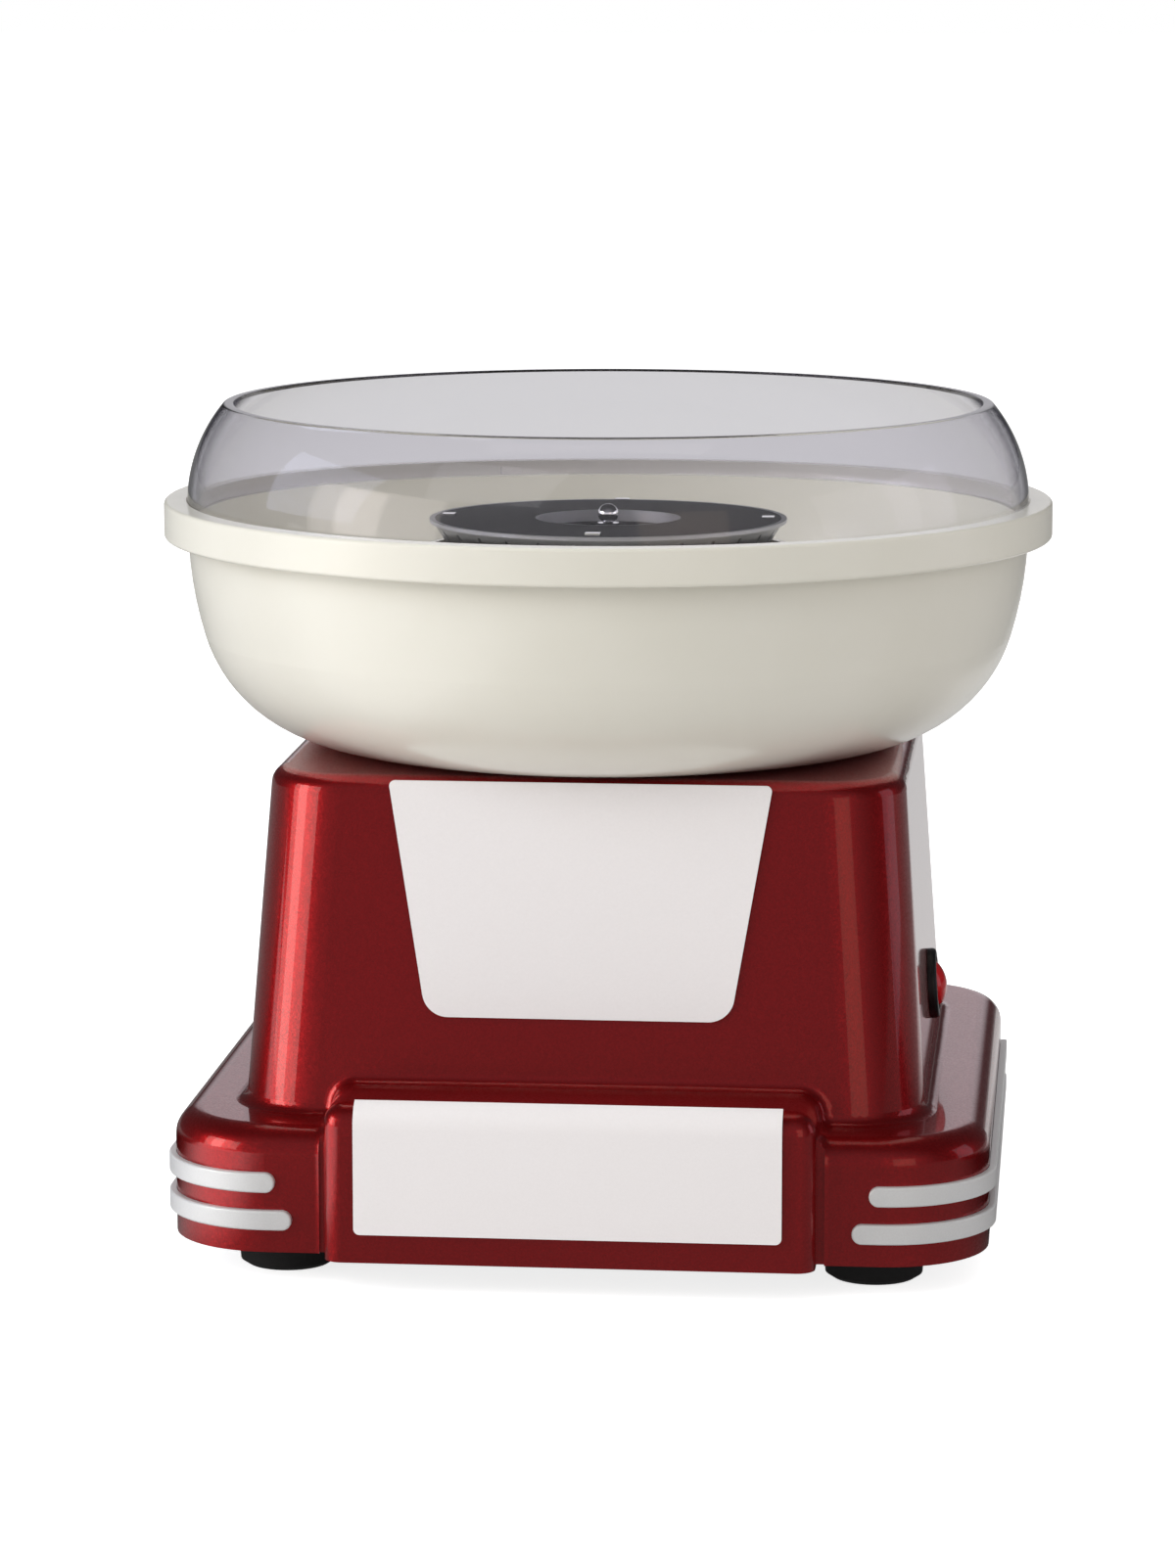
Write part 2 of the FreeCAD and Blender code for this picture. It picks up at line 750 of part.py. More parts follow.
def add_deck(body):
    """The deck's hole for the motor, the ring that centres the bowl, and four screw bosses."""
    bosses = new_sketch(body, "XY_Plane", f"({DECK} - shell_wall)")
    for spot in on_circle(HEATER_SCREW_CIRCLE, 4, "45"):
        draw_circle(bosses, "deck_boss_radius", spot["x"], spot["y"])
    extrude(body, bosses, "deck_boss_depth", backwards=True)
    ring = new_sketch(body, "XY_Plane", DECK)
    draw_circle(ring, DECK_RING_OUTER)
    draw_circle(ring, f"({DECK_RING_OUTER} - deck_ring_wall)")
    extrude(body, ring, "deck_ring_height")
    hole = new_sketch(body, "XY_Plane", DECK)
    draw_circle(hole, "(heater_radius - deck_hole_inset)")
    pocket(body, hole, "shell_wall")
    screws = new_sketch(body, "XY_Plane", DECK)
    for spot in on_circle(HEATER_SCREW_CIRCLE, 4, "45"):
        draw_circle(screws, SCREW_HOLE, spot["x"], spot["y"])
    pocket(body, screws, "(shell_wall + deck_boss_depth)")


def add_posts(body):
    """Four posts that hang from the plinth's roof and take the cover's screws."""
    posts = new_sketch(body, "XY_Plane", COVER_TOP)
    holes = new_sketch(body, "XY_Plane", COVER_TOP)
    for spot in corners_of(POST_X, POST_FRONT_Y, POST_REAR_Y):
        draw_circle(posts, "post_radius", spot["x"], spot["y"])
        draw_circle(holes, SCREW_HOLE, spot["x"], spot["y"])
    extrude(body, posts, f"({PLINTH_ROOF} - {COVER_TOP})")
    pocket(body, holes, "(screw_length + 2 * cover_thickness)", backwards=True)


def open_walls(body):
    """The round holes for the switch and for the cord gland."""
    hole = new_sketch(body, "YZ_Plane")
    middle = f"({tower_at(SWITCH_HEIGHT)[0]} + bezel_depth)"
    hole.AttachmentOffset = FreeCAD.Placement(FreeCAD.Vector(), FreeCAD.Rotation(FreeCAD.Vector(1, 0, 0), 1))
    for path, formula in (
        ("Base.x", "switch_y"),
        ("Base.y", f"({SWITCH_HEIGHT} + bezel_depth * {SIDE_SLOPE})"),
        ("Base.z", middle),
        ("Rotation.Angle", f"-atan({SIDE_SLOPE})"),
    ):
        hole.setExpression(f"AttachmentOffset.{path}", linked(formula))
    draw_circle(hole, "(barrel_radius + cover_gap)")
    pocket(body, hole, "(2 * bezel_depth + 2 * shell_wall)")
    gland = new_sketch(body, "XZ_Plane", f"-(plinth_rear + {PAST})")
    draw_circle(gland, "(gland_neck + screw_slack)", "gland_x", GLAND_HEIGHT)
    pocket(body, gland, f"(shell_wall + 2 * {PAST})", backwards=True)


# ---------------------------------------------------------------- underside


def bottom_cover():
    """The cover that closes the plinth, with vents, foot bosses and standoffs for the board."""
    body = new_body("bottom_cover")
    inset = "(shell_wall + cover_gap)"
    sketch = new_sketch(body, "XY_Plane", "foot_height")
    plinth_outline(sketch, inset)
    extrude(body, sketch, "cover_thickness")
    sketch = new_sketch(body, "XY_Plane", "foot_height")
    block_outline(sketch, inset)
    extrude(body, sketch, "cover_thickness")
    bosses = new_sketch(body, "XY_Plane", COVER_TOP)
    holes = new_sketch(body, "XY_Plane", "foot_height")
    for spot in corners_of(FOOT_X, FOOT_FRONT_Y, FOOT_REAR_Y):
        draw_circle(bosses, "foot_boss_radius", spot["x"], spot["y"])
        draw_circle(holes, SCREW_HOLE, spot["x"], spot["y"])
    for spot in corners_of(POST_X, POST_FRONT_Y, POST_REAR_Y):
        draw_circle(holes, SCREW_HOLE, spot["x"], spot["y"])
    extrude(body, bosses, "foot_boss_height")
    pocket(body, holes, "(cover_thickness + foot_boss_height - screw_slack)", backwards=True)
    standoffs = new_sketch(body, "XY_Plane", COVER_TOP)
    for x, y in board_corners():
        draw_circle(standoffs, "standoff_radius", x, y)
    extrude(body, standoffs, "board_rise")
    slot = new_sketch(body, "XY_Plane", "foot_height")
    half_length = "(0.5 * vent_length)"
    far = "(vent_rear_start + vent_width)"
    draw_rounded(slot, f"-{half_length}", half_length, "vent_rear_start", far, f"({ROUND_END} * vent_width)")
    vent = pocket(body, slot, "cover_thickness", backwards=True)
    repeat_line(body, vent, "Y_Axis", "vent_count", "vent_pitch")
    return node(body, "bottom_cover")


def feet():
    """Four turned rubber feet, each with a recess for its screw."""
    for label, spot in zip(
        ("foot_front_left", "foot_rear_left", "foot_front_right", "foot_rear_right"),
        corners_of(FOOT_X, FOOT_FRONT_Y, FOOT_REAR_Y),
    ):
        recess = "(screw_head_radius + 2 * cover_gap)"
        foot = turned(
            label,
            [
                (recess, "0"),
                ("(foot_radius - 2 * foot_edge)", "0"),
                ("(foot_radius - 0.5 * foot_edge)", "foot_edge"),
                ("foot_radius", "foot_height"),
                (SCREW_HOLE, "foot_height"),
                (SCREW_HOLE, "foot_recess_depth"),
                (recess, "foot_recess_depth"),
            ],
        )
        place(foot, **spot)
        node(foot, label)


def underside_screws():
    """The screws of the cover and of the feet, all driven from below."""
    original = screw("upward_screw")
    turn_up = {"axis": (1, 0, 0), "angle": "180"}
    posts = corners_of(POST_X, POST_FRONT_Y, POST_REAR_Y)
    copies("cover_screws", original, [{**spot, "z": "foot_height", **turn_up} for spot in posts])
    feet_at = corners_of(FOOT_X, FOOT_FRONT_Y, FOOT_REAR_Y)
    copies("foot_screws", original, [{**spot, "z": "foot_recess_depth", **turn_up} for spot in feet_at])


def cord_gland():
    """A round bush in the rear wall that a mains cord passes through."""
    inner = "(gland_inside + shell_wall)"
    bush = turned(
        "cord_gland",
        [
            ("gland_bore", f"-{inner}"),
            ("gland_neck", f"-{inner}"),
            ("gland_neck", "0"),
            ("gland_flange", "0"),
            ("gland_flange", "0.5 * gland_flange_depth"),
            ("gland_neck", "gland_flange_depth"),
            ("gland_bore", "gland_flange_depth"),
        ],
    )
    place(bush, "gland_x", "plinth_rear", GLAND_HEIGHT, (1, 0, 0), "-90")
    return node(bush, "cord_gland")


# ---------------------------------------------------------------- plates and trim


def front_panel():
    """The white plate on the tower's leaning front face, wider at its top."""
    body = new_body("front_panel")
    sketch = new_sketch(body, "XZ_Plane")
    lean = f"((panel_top_half_width - panel_foot_half_width) / {PANEL_LENGTH})"
    foot_turn = f"(panel_foot_corner * (sqrt(1 + {lean} * {lean}) - {lean}))"
    along = f"({foot_turn} / sqrt(1 + {lean} * {lean}))"
    foot_x = f"(panel_foot_half_width - {foot_turn})"
    side_x = f"(panel_foot_half_width + {along} * {lean})"
    draw(
        sketch,
        [
            (f"-{foot_x}", "0"),
            (foot_x, "0", "panel_foot_corner", LEFT),
            (side_x, along),
            ("panel_top_half_width", PANEL_LENGTH),
            ("-panel_top_half_width", PANEL_LENGTH),
            (f"-{side_x}", along, "panel_foot_corner", LEFT),
        ],
    )
    extrude(body, sketch, "panel_thickness")
    round_edges(body, "panel_top_corner", lambda edge: runs_along_y(edge, PANEL_LENGTH))
    front = f"-({tower_at(PANEL_FOOT)[1]} + skin_gap)"
    place(body, "0", front, PANEL_FOOT, (1, 0, 0), f"-atan({FRONT_SLOPE})")
    return node(body, "front_panel")


def runs_along_y(edge, height):
    """Whether an edge runs front to back at a height."""
    box = edge.BoundBox
    return box.XLength < TINY and box.ZLength < TINY and near(box.ZMin, height)


def nameplate():
    """The white plate on the block's face, bent back over the block's rounded top edge."""
    body = new_body("nameplate")
    sketch = new_sketch(body, "YZ_Plane", f"-{NAMEPLATE_HALF_WIDTH}")
    inner = f"-({BLOCK_FRONT} + skin_gap)"
    outer = f"-({BLOCK_FRONT} + skin_gap + nameplate_thickness)"
    bend_start = f"({BLOCK_TOP} - block_nose)"
    inner_bend = "(block_nose + skin_gap)"
    outer_bend = "(block_nose + skin_gap + nameplate_thickness)"

    def bend_end(radius):
        across = f"({BLOCK_FRONT} - block_nose + {radius} * cos(nameplate_bend_angle))"
        return f"-{across}", f"({bend_start} + {radius} * sin(nameplate_bend_angle))"

    draw(
        sketch,
        [
            (inner, NAMEPLATE_FOOT),
            (inner, bend_start, inner_bend, RIGHT),
            bend_end(inner_bend),
            (*bend_end(outer_bend), outer_bend, LEFT),
            (outer, bend_start),
            (outer, NAMEPLATE_FOOT),
        ],
    )
    extrude(body, sketch, f"2 * {NAMEPLATE_HALF_WIDTH}")
    round_edges(body, "nameplate_corner", lambda edge: runs_along_y(edge, NAMEPLATE_FOOT))
    return node(body, "nameplate")


def trim_strip(label, rise, lead):
    """A strip on the right fender: along the front, round the corner and back along the side."""
    body = new_body(label)
    sketch = new_sketch(body, "XY_Plane", f"(foot_height + {rise} - 0.5 * strip_height)")
    start = f"({PLINTH_SIDE_CENTRE} - {lead})"
    bend = f"-{PLINTH_FRONT_CENTRE}"
    inner = "skin_gap"
    outer = "(skin_gap + strip_proud)"
    inner_side, inner_front = f"(plinth_half_width + {inner})", f"-(plinth_front + {inner})"
    outer_side, outer_front = f"(plinth_half_width + {outer})", f"-(plinth_front + {outer})"
    draw(
        sketch,
        [
            (start, outer_front),
            (PLINTH_SIDE_CENTRE, outer_front, f"(plinth_corner + {outer})", LEFT),
            (outer_side, bend),
            (outer_side, STRIP_REAR_END),
            (inner_side, STRIP_REAR_END),
            (inner_side, bend, f"(plinth_corner + {inner})", RIGHT),
            (PLINTH_SIDE_CENTRE, inner_front),
            (start, inner_front),
        ],
    )
    extrude(body, sketch, "strip_height")

    def end_corner(edge):
        middle = middle_of(edge)
        along = edge.tangentAt(edge.FirstParameter)
        at_front = near(middle.x, start) and near(abs(along.y), "1")
        at_rear = near(middle.y, STRIP_REAR_END) and near(abs(along.x), "1")
        return at_front or at_rear

    def outer_edge(edge):
        middle = middle_of(edge)
        from_centre = math.hypot(middle.x - number(PLINTH_SIDE_CENTRE), middle.y - number(bend))
        on_corner = near(from_centre, f"(plinth_corner + {outer})")
        return near(middle.x, outer_side) or near(middle.y, outer_front) or on_corner

    round_edges(body, f"({ROUND_END} * strip_height)", end_corner)
    round_edges(body, "strip_edge", outer_edge)
    return body


def trim():
    """Two strips on the right fender and their mirror images on the left one."""
    for level in ("upper", "lower"):
        right = trim_strip(f"trim_right_{level}", f"strip_{level}_rise", f"strip_{level}_lead")
        node(right, f"trim_right_{level}")
        left = doc.addObject("Part::Mirroring", f"trim_left_{level}")
        left.Source = right
        left.Normal = FreeCAD.Vector(1, 0, 0)
        node(left, f"trim_left_{level}")


# ---------------------------------------------------------------- switch


def seat_in_side(thing, depth="0", tilt="0"):
    """Place a body whose own +Z points out of the tower's right side at the switch."""
    wall = tower_at(SWITCH_HEIGHT)[0]
    slope = f"atan({SIDE_SLOPE})"
    x = f"({wall} - {depth} * cos({slope}))"
    z = f"({SWITCH_HEIGHT} - {depth} * sin({slope}))"
    place(thing, x, "switch_y", z, (0, 1, 0), f"90deg - {slope} - {tilt} * 1deg")


def switch_housing():
    """The switch's black bezel and barrel, closed at the back, with bearings for the rocker."""
    body = turned(
        "switch_housing",
        [
            ("0", "-barrel_length"),
            ("barrel_radius", "-barrel_length"),
            ("barrel_radius", "skin_gap"),
            (BEZEL_RADIUS, "skin_gap"),
            (BEZEL_RADIUS, "(bezel_depth - bezel_rim)", "bezel_rim", LEFT),
            (f"({BEZEL_RADIUS} - bezel_rim)", "bezel_depth"),
            (WINDOW_RADIUS, "bezel_depth"),
            (WINDOW_RADIUS, "-(barrel_length - barrel_floor)"),
            ("0", "-(barrel_length - barrel_floor)"),
        ],
    )
    bearing = new_sketch(body, "XZ_Plane", f"-(barrel_radius + {PAST})")
    draw_circle(bearing, "(rocker_pin_radius + rocker_pin_slack)", "0", "-rocker_pivot_depth")
    pocket(body, bearing, f"2 * (barrel_radius + {PAST})", backwards=True)
    seat_in_side(body)
    return node(body, "switch_housing")


def switch_rocker():
    """The red rocker: round sides that swing in the window, a domed face and two pivot pins."""
    half_tail = f"sqrt({ROCKER_RADIUS} * {ROCKER_RADIUS} - rocker_tail * rocker_tail)"
    rise = "(rocker_shoulder + rocker_pivot_depth)"
    shoulder = f"sqrt({ROCKER_RADIUS} * {ROCKER_RADIUS} - {rise} * {rise})"
    crown = "(rocker_crown - rocker_shoulder)"
    dome = f"(({shoulder} * {shoulder} + {crown} * {crown}) / (2 * {crown}))"
    body = turned(
        "switch_rocker",
        [
            ("0", "-rocker_tail"),
            (half_tail, "-rocker_tail", ROCKER_RADIUS, LEFT),
            (shoulder, rise, dome, LEFT),
            ("0", f"({rise} + {crown})"),
        ],
    )
    pin = new_sketch(body, "XZ_Plane", f"-(0.5 * ({WINDOW_RADIUS} + barrel_radius))")
    draw_circle(pin, "rocker_pin_radius")
    extrude(body, pin, f"({WINDOW_RADIUS} + barrel_radius)")
    seat_in_side(body, "rocker_pivot_depth", "rocker_tilt_angle")
    return node(body, "switch_rocker")


def switch_terminals():
    """Two blades on the back of the switch."""
    blade = new_body("blade")
    sketch = new_sketch(blade, "XY_Plane")
    half_width = "(0.5 * blade_width)"
    half_thickness = "(0.5 * blade_thickness)"
    draw_box(sketch, f"-{half_thickness}", half_thickness, f"-{half_width}", half_width)
    extrude(blade, sketch, "blade_length", backwards=True)
    pair = doc.addObject("Part::Compound", "switch_terminals")
    links = []
    for side in ("-", ""):
        link = doc.addObject("App::Link", "copy")
        link.LinkedObject = blade
        place(link, f"{side}(0.5 * barrel_radius)", "0", "-barrel_length")
        links.append(link)
    pair.Links = links
    seat_in_side(pair)
    return node(pair, "switch_terminals")


# ---------------------------------------------------------------- heater


def heater_housing():
    """The metal cup on the deck: a flange, a round wall and a floor that carries the motor."""
    body = turned(
        "heater_housing",
        [
            (HEATER_INNER, DECK),
            (HEATER_FLANGE, DECK),
            (HEATER_FLANGE, f"({DECK} + heater_wall)"),
            ("heater_radius", f"({DECK} + heater_wall)"),
            ("heater_radius", HEATER_TOP),
            (HEATER_INNER, HEATER_TOP),
            (HEATER_INNER, HEATER_FLOOR_TOP),
            ("(motor_boss_radius + screw_slack)", HEATER_FLOOR_TOP),
            ("(motor_boss_radius + screw_slack)", HEATER_FLOOR),
            (HEATER_INNER, HEATER_FLOOR),
        ],
    )
    flange = new_sketch(body, "XY_Plane", f"({DECK} + heater_wall)")
    for spot in on_circle(HEATER_SCREW_CIRCLE, 4, "45"):
        draw_circle(flange, SCREW_HOLE, spot["x"], spot["y"])
    pocket(body, flange, "heater_wall")
    floor = new_sketch(body, "XY_Plane", HEATER_FLOOR_TOP)
    for spot in on_circle(MOTOR_SCREW_CIRCLE, 2):
        draw_circle(floor, SCREW_HOLE, spot["x"], spot["y"])
    for x, y in element_ends():
        draw_circle(floor, f"({BUSH_RADIUS} + screw_slack)", x, y)
    pocket(body, floor, "heater_wall")
    return node(body, "heater_housing")


def element_ends():
    """Where the two ends of the heating element turn down, at the rear."""
    half_gap = "(0.5 * element_gap_angle)"
    x = f"({ELEMENT_RADIUS} * sin({half_gap}))"
    y = f"({ELEMENT_RADIUS} * cos({half_gap}))"
    return [(x, y), (f"-{x}", y)]


def reflector_pan():
    """A thin dish under the element, on a sleeve that stands on the heater's floor."""
    rim = f"({HEATER_INNER} - cover_gap)"
    body = turned(
        "reflector_pan",
        [
            ("(pan_sleeve_radius - pan_sheet)", HEATER_FLOOR_TOP),
            ("pan_sleeve_radius", HEATER_FLOOR_TOP),
            ("pan_sleeve_radius", PAN_FLOOR),
            (PAN_FLOOR_RADIUS, PAN_FLOOR),
            (rim, PAN_RIM),
            (f"({rim} - pan_sheet)", PAN_RIM),
            (f"({PAN_FLOOR_RADIUS} - pan_sheet)", PAN_FLOOR_TOP),
            ("(pan_sleeve_radius - pan_sheet)", PAN_FLOOR_TOP),
        ],
    )
    holes = new_sketch(body, "XY_Plane", PAN_FLOOR_TOP)
    for x, y in element_ends():
        draw_circle(holes, BUSH_RADIUS, x, y)
    pocket(body, holes, "pan_sheet")
    return node(body, "reflector_pan")


def ring_tube(name, tube):
    """The element's ring as a tube of some radius, open at the rear."""
    ring = doc.addObject("Part::Torus", name)
    bind(ring, Radius1=ELEMENT_RADIUS, Radius2=tube, Angle3="360 - element_gap_angle")
    place(ring, z=ELEMENT_HEIGHT, angle="90 + 0.5 * element_gap_angle")
    return ring


def heating_element():
    """A tubular ring whose ends turn down through the heater's floor."""
    pieces = [ring_tube("element_ring", "element_tube")]
    bottom = f"({HEATER_FLOOR} - element_tail)"
    for x, y in element_ends():
        knee = doc.addObject("Part::Sphere", "element_knee")
        bind(knee, Radius="element_tube")
        place(knee, x, y, ELEMENT_HEIGHT)
        leg = doc.addObject("Part::Cylinder", "element_leg")
        bind(leg, Radius="element_tube", Height=f"({ELEMENT_HEIGHT} - {bottom})")
        place(leg, x, y, bottom)
        pieces += [knee, leg]
    element = doc.addObject("Part::MultiFuse", "heating_element")
    element.Shapes = pieces
    return node(element, "heating_element")


def heater_bushes():
    """Ceramic bushes that carry the element's ends in the heater's floor."""
    collar = f"({BUSH_RADIUS} + bush_collar)"
    bush = turned(
        "bush",
        [
            ("(element_tube + screw_slack)", "-bush_reach"),
            (BUSH_RADIUS, "-bush_reach"),
            (BUSH_RADIUS, "heater_wall"),
            (collar, "heater_wall"),
            (collar, "(heater_wall + bush_collar)"),
            (BUSH_RADIUS, "(heater_wall + bush_reach)"),
            ("(element_tube + screw_slack)", "(heater_wall + bush_reach)"),
        ],
    )
    copies("heater_bushes", bush, [{"x": x, "y": y, "z": HEATER_FLOOR} for x, y in element_ends()])


def heater_clips():
    """Three sheet clips that stand on the pan and hold the element's ring."""
    blank = new_body("clip_blank")
    sketch = new_sketch(blank, "XY_Plane")
    half_width = "(0.5 * clip_width)"
    half_thickness = "(0.5 * clip_thickness)"
    draw_box(sketch, f"-{half_width}", half_width, f"-{half_thickness}", half_thickness)
    extrude(blank, sketch, f"({ELEMENT_HEIGHT} - {PAN_FLOOR_TOP} + 0.5 * clip_width)")
    links = []
    for spot in at_height(on_circle(ELEMENT_RADIUS, 3, "30"), PAN_FLOOR_TOP):
        link = doc.addObject("App::Link", "copy")
        link.LinkedObject = blank
        place(link, **spot)
        links.append(link)
    blanks = doc.addObject("Part::Compound", "clip_blanks")
    blanks.Links = links
    clips = doc.addObject("Part::Cut", "heater_clips")
    clips.Base = blanks
    clips.Tool = ring_tube("clip_hole", "element_tube + clip_slack")
    return node(clips, "heater_clips")


def thermal_cutout():
    """The round cut-out under the heater's floor that stops it from overheating."""
    rim = "(cutout_radius + cutout_rim)"
    body = turned(
        "thermal_cutout",
        [
            ("0", "-cutout_height"),
            ("cutout_radius", "-cutout_height"),
            ("cutout_radius", "-cutout_rim"),
            (rim, "-cutout_rim"),
            (rim, "0"),
            ("0", "0"),
        ],
    )
    place(body, "0", f"-({HEATER_INNER} - cutout_inset)", HEATER_FLOOR)
    return node(body, "thermal_cutout")


def heater_screws():
    """The screws of the heater's flange and of the motor."""
    original = screw("downward_screw")
    flange = on_circle(HEATER_SCREW_CIRCLE, 4, "45")
    copies("heater_housing_screws", original, at_height(flange, f"({DECK} + heater_wall)"))
    short = screw("motor_screw", "(heater_wall + 2 * motor_wall)")
    copies("motor_screws", short, at_height(on_circle(MOTOR_SCREW_CIRCLE, 2), HEATER_FLOOR_TOP))


# ---------------------------------------------------------------- motor


def motor_can():
    """The drawn steel can, open below, with a boss that passes through the heater's floor."""
    roof = f"({HEATER_FLOOR} - motor_wall)"
    boss_top = f"({HEATER_FLOOR} + motor_boss_height)"
    body = turned(
        "motor_can",
        [
            (CAN_INNER, MOTOR_BOTTOM),
            ("motor_radius", MOTOR_BOTTOM),
            ("motor_radius", HEATER_FLOOR),
            ("motor_boss_radius", HEATER_FLOOR),
            ("motor_boss_radius", boss_top),
            ("bearing_radius", boss_top),
            ("bearing_radius", roof),
            (CAN_INNER, roof),
        ],
    )
    holes = new_sketch(body, "XY_Plane", HEATER_FLOOR)
    for spot in on_circle(MOTOR_SCREW_CIRCLE, 2):
        draw_circle(holes, SCREW_HOLE, spot["x"], spot["y"])
    pocket(body, holes, "motor_wall")
    return node(body, "motor_can")


def motor_end_bell():
    """The moulded bell that closes the can and holds the lower bearing."""
    spigot = f"({CAN_INNER} - screw_slack)"
    body = turned(
        "motor_end_bell",
        [
            ("0", BELL_BOSS_BOTTOM),
            ("(bearing_radius + motor_wall)", BELL_BOSS_BOTTOM),
            ("(bearing_radius + motor_wall)", BELL_BOTTOM),
            ("motor_radius", BELL_BOTTOM),
            ("motor_radius", MOTOR_BOTTOM),
            (spigot, MOTOR_BOTTOM),
            (spigot, f"({MOTOR_BOTTOM} + bell_spigot)"),
            (f"({spigot} - motor_wall)", f"({MOTOR_BOTTOM} + bell_spigot)"),
            (f"({spigot} - motor_wall)", MOTOR_BOTTOM),
            ("bearing_radius", MOTOR_BOTTOM),
            ("bearing_radius", LOWER_BEARING),
            ("0", LOWER_BEARING),
        ],
    )
    return node(body, "motor_end_bell")


def motor_bearings():
    """Two bronze bushes that the shaft runs in."""
    bush = turned(
        "bearing",
        [
            (SHAFT_BORE, "0"),
            ("bearing_radius", "0"),
            ("bearing_radius", "bearing_length"),
            (SHAFT_BORE, "bearing_length"),
        ],
    )
    copies("motor_bearings", bush, [{"z": LOWER_BEARING}, {"z": UPPER_BEARING}])


def motor_magnets():
    """Two curved magnets against the inside of the can."""
    magnet = new_body("magnet")
    sketch = new_sketch(magnet, "XZ_Plane")
    inner = f"({CAN_INNER} - magnet_thickness)"
    draw_box(sketch, inner, CAN_INNER, MAGNET_BOTTOM, f"({MAGNET_BOTTOM} + magnet_length)")
    spin(magnet, sketch, angle="magnet_angle")
    turns = [{"angle": f"({half} - 0.5 * magnet_angle)"} for half in ("0", "180")]
    copies("motor_magnets", magnet, turns)


def motor_terminals():
    """Two blades under the end bell."""
    blade = new_body("motor_blade")
    sketch = new_sketch(blade, "XY_Plane")
    half_width = "(0.5 * blade_width)"
    half_thickness = "(0.5 * blade_thickness)"
    draw_box(sketch, f"-{half_thickness}", half_thickness, f"-{half_width}", half_width)
    extrude(blade, sketch, "blade_length", backwards=True)
    copies("motor_terminals", blade, at_height(on_circle(MOTOR_SCREW_CIRCLE, 2), BELL_BOTTOM))


def motor_shaft():
    """The shaft from the lower bearing up into the spinning head, cross-drilled for its pin."""
    body = turned(
        "motor_shaft",
        [
            ("0", f"({LOWER_BEARING} + shaft_end_play)"),
            ("shaft_radius", f"({LOWER_BEARING} + shaft_end_play)"),
            ("shaft_radius", f"({SHAFT_TOP} - shaft_chamfer)"),
            ("(shaft_radius - shaft_chamfer)", SHAFT_TOP),
            ("0", SHAFT_TOP),
        ],
    )
    hole = new_sketch(body, "XZ_Plane", "-2 * shaft_radius")
    draw_circle(hole, "(drive_pin_radius + drive_pin_slack)", "0", DRIVE_PIN_HEIGHT)
    pocket(body, hole, "4 * shaft_radius", backwards=True)
    return node(body, "motor_shaft")


def motor_rotor():
    """The rotor's stack with its slots, pressed on the shaft."""
    radius = f"({CAN_INNER} - magnet_thickness - air_gap)"
    top = f"({ROTOR_BOTTOM} + rotor_length)"
    corners = [("shaft_radius", ROTOR_BOTTOM), (radius, ROTOR_BOTTOM), (radius, top), ("shaft_radius", top)]
    body = turned("motor_rotor", corners)
    slot = new_sketch(body, "XY_Plane", ROTOR_BOTTOM)
    half_slot = "(0.5 * rotor_slot_width)"
    draw_box(slot, f"-{half_slot}", half_slot, f"({radius} - rotor_slot_depth)", CAN_INNER)
    cut = pocket(body, slot, "rotor_length", backwards=True)
    repeat_round(body, cut, "rotor_slot_count")
    return node(body, "motor_rotor")


def motor_commutator():
    """The commutator's drum below the rotor."""
    top = f"({ROTOR_BOTTOM} - commutator_gap)"
    body = turned(
        "motor_commutator",
        [
            ("shaft_radius", f"({top} - commutator_length)"),
            ("commutator_radius", f"({top} - commutator_length)"),
            ("commutator_radius", top),
            ("shaft_radius", top),
        ],
    )
    return node(body, "motor_commutator")


def drive_pin():
    """The pin across the shaft that turns the spinning head."""
    pin = doc.addObject("Part::Cylinder", "drive_pin")
    bind(pin, Radius="drive_pin_radius", Height="2 * head_hub_radius")
    place(pin, "0", "head_hub_radius", DRIVE_PIN_HEIGHT, (1, 0, 0), "90")
    return node(pin, "drive_pin")


# ---------------------------------------------------------------- spinning head


def head_hub():
    """The hub that drops over the shaft, slotted below for the drive pin."""
    bore_top = f"({SHAFT_TOP} + 2 * screw_slack)"
    neck = "(hub_neck_radius - screw_slack)"
    body = turned(
        "head_hub",
        [
            (SHAFT_BORE, HEAD_HUB_BOTTOM),
            ("head_hub_radius", HEAD_HUB_BOTTOM),
            ("head_hub_radius", f"({HEAD_FLOOR} - head_hub_flange_depth)"),
            ("head_hub_flange", f"({HEAD_FLOOR} - head_hub_flange_depth)"),
            ("head_hub_flange", HEAD_FLOOR),
            (neck, HEAD_FLOOR),
            (neck, WELL_BOTTOM),
            ("(knob_stem + screw_slack)", WELL_BOTTOM),
            ("(knob_stem + screw_slack)", f"({WELL_BOTTOM} - 2 * head_sheet)"),
            ("0", f"({WELL_BOTTOM} - 2 * head_sheet)"),
            ("0", bore_top),
            (SHAFT_BORE, bore_top),
        ],
    )
    slot = new_sketch(body, "XZ_Plane", "-2 * head_hub_radius")
    half_width = "(drive_pin_radius + pin_slot_slack)"
    top = f"({DRIVE_PIN_HEIGHT} + {half_width})"
    draw_box(slot, f"-{half_width}", half_width, f"({HEAD_HUB_BOTTOM} - {PAST})", top)
    pocket(body, slot, "4 * head_hub_radius", backwards=True)
    return node(body, "head_hub")


def head_dish():
    """The round floor of the head."""
    body = turned(
        "head_dish",
        [
            ("hub_neck_radius", HEAD_FLOOR),
            (BAND_FOOT, HEAD_FLOOR),
            (BAND_FOOT, HEAD_FLOOR_TOP),
            ("hub_neck_radius", HEAD_FLOOR_TOP),
        ],
    )
    return node(body, "head_dish")


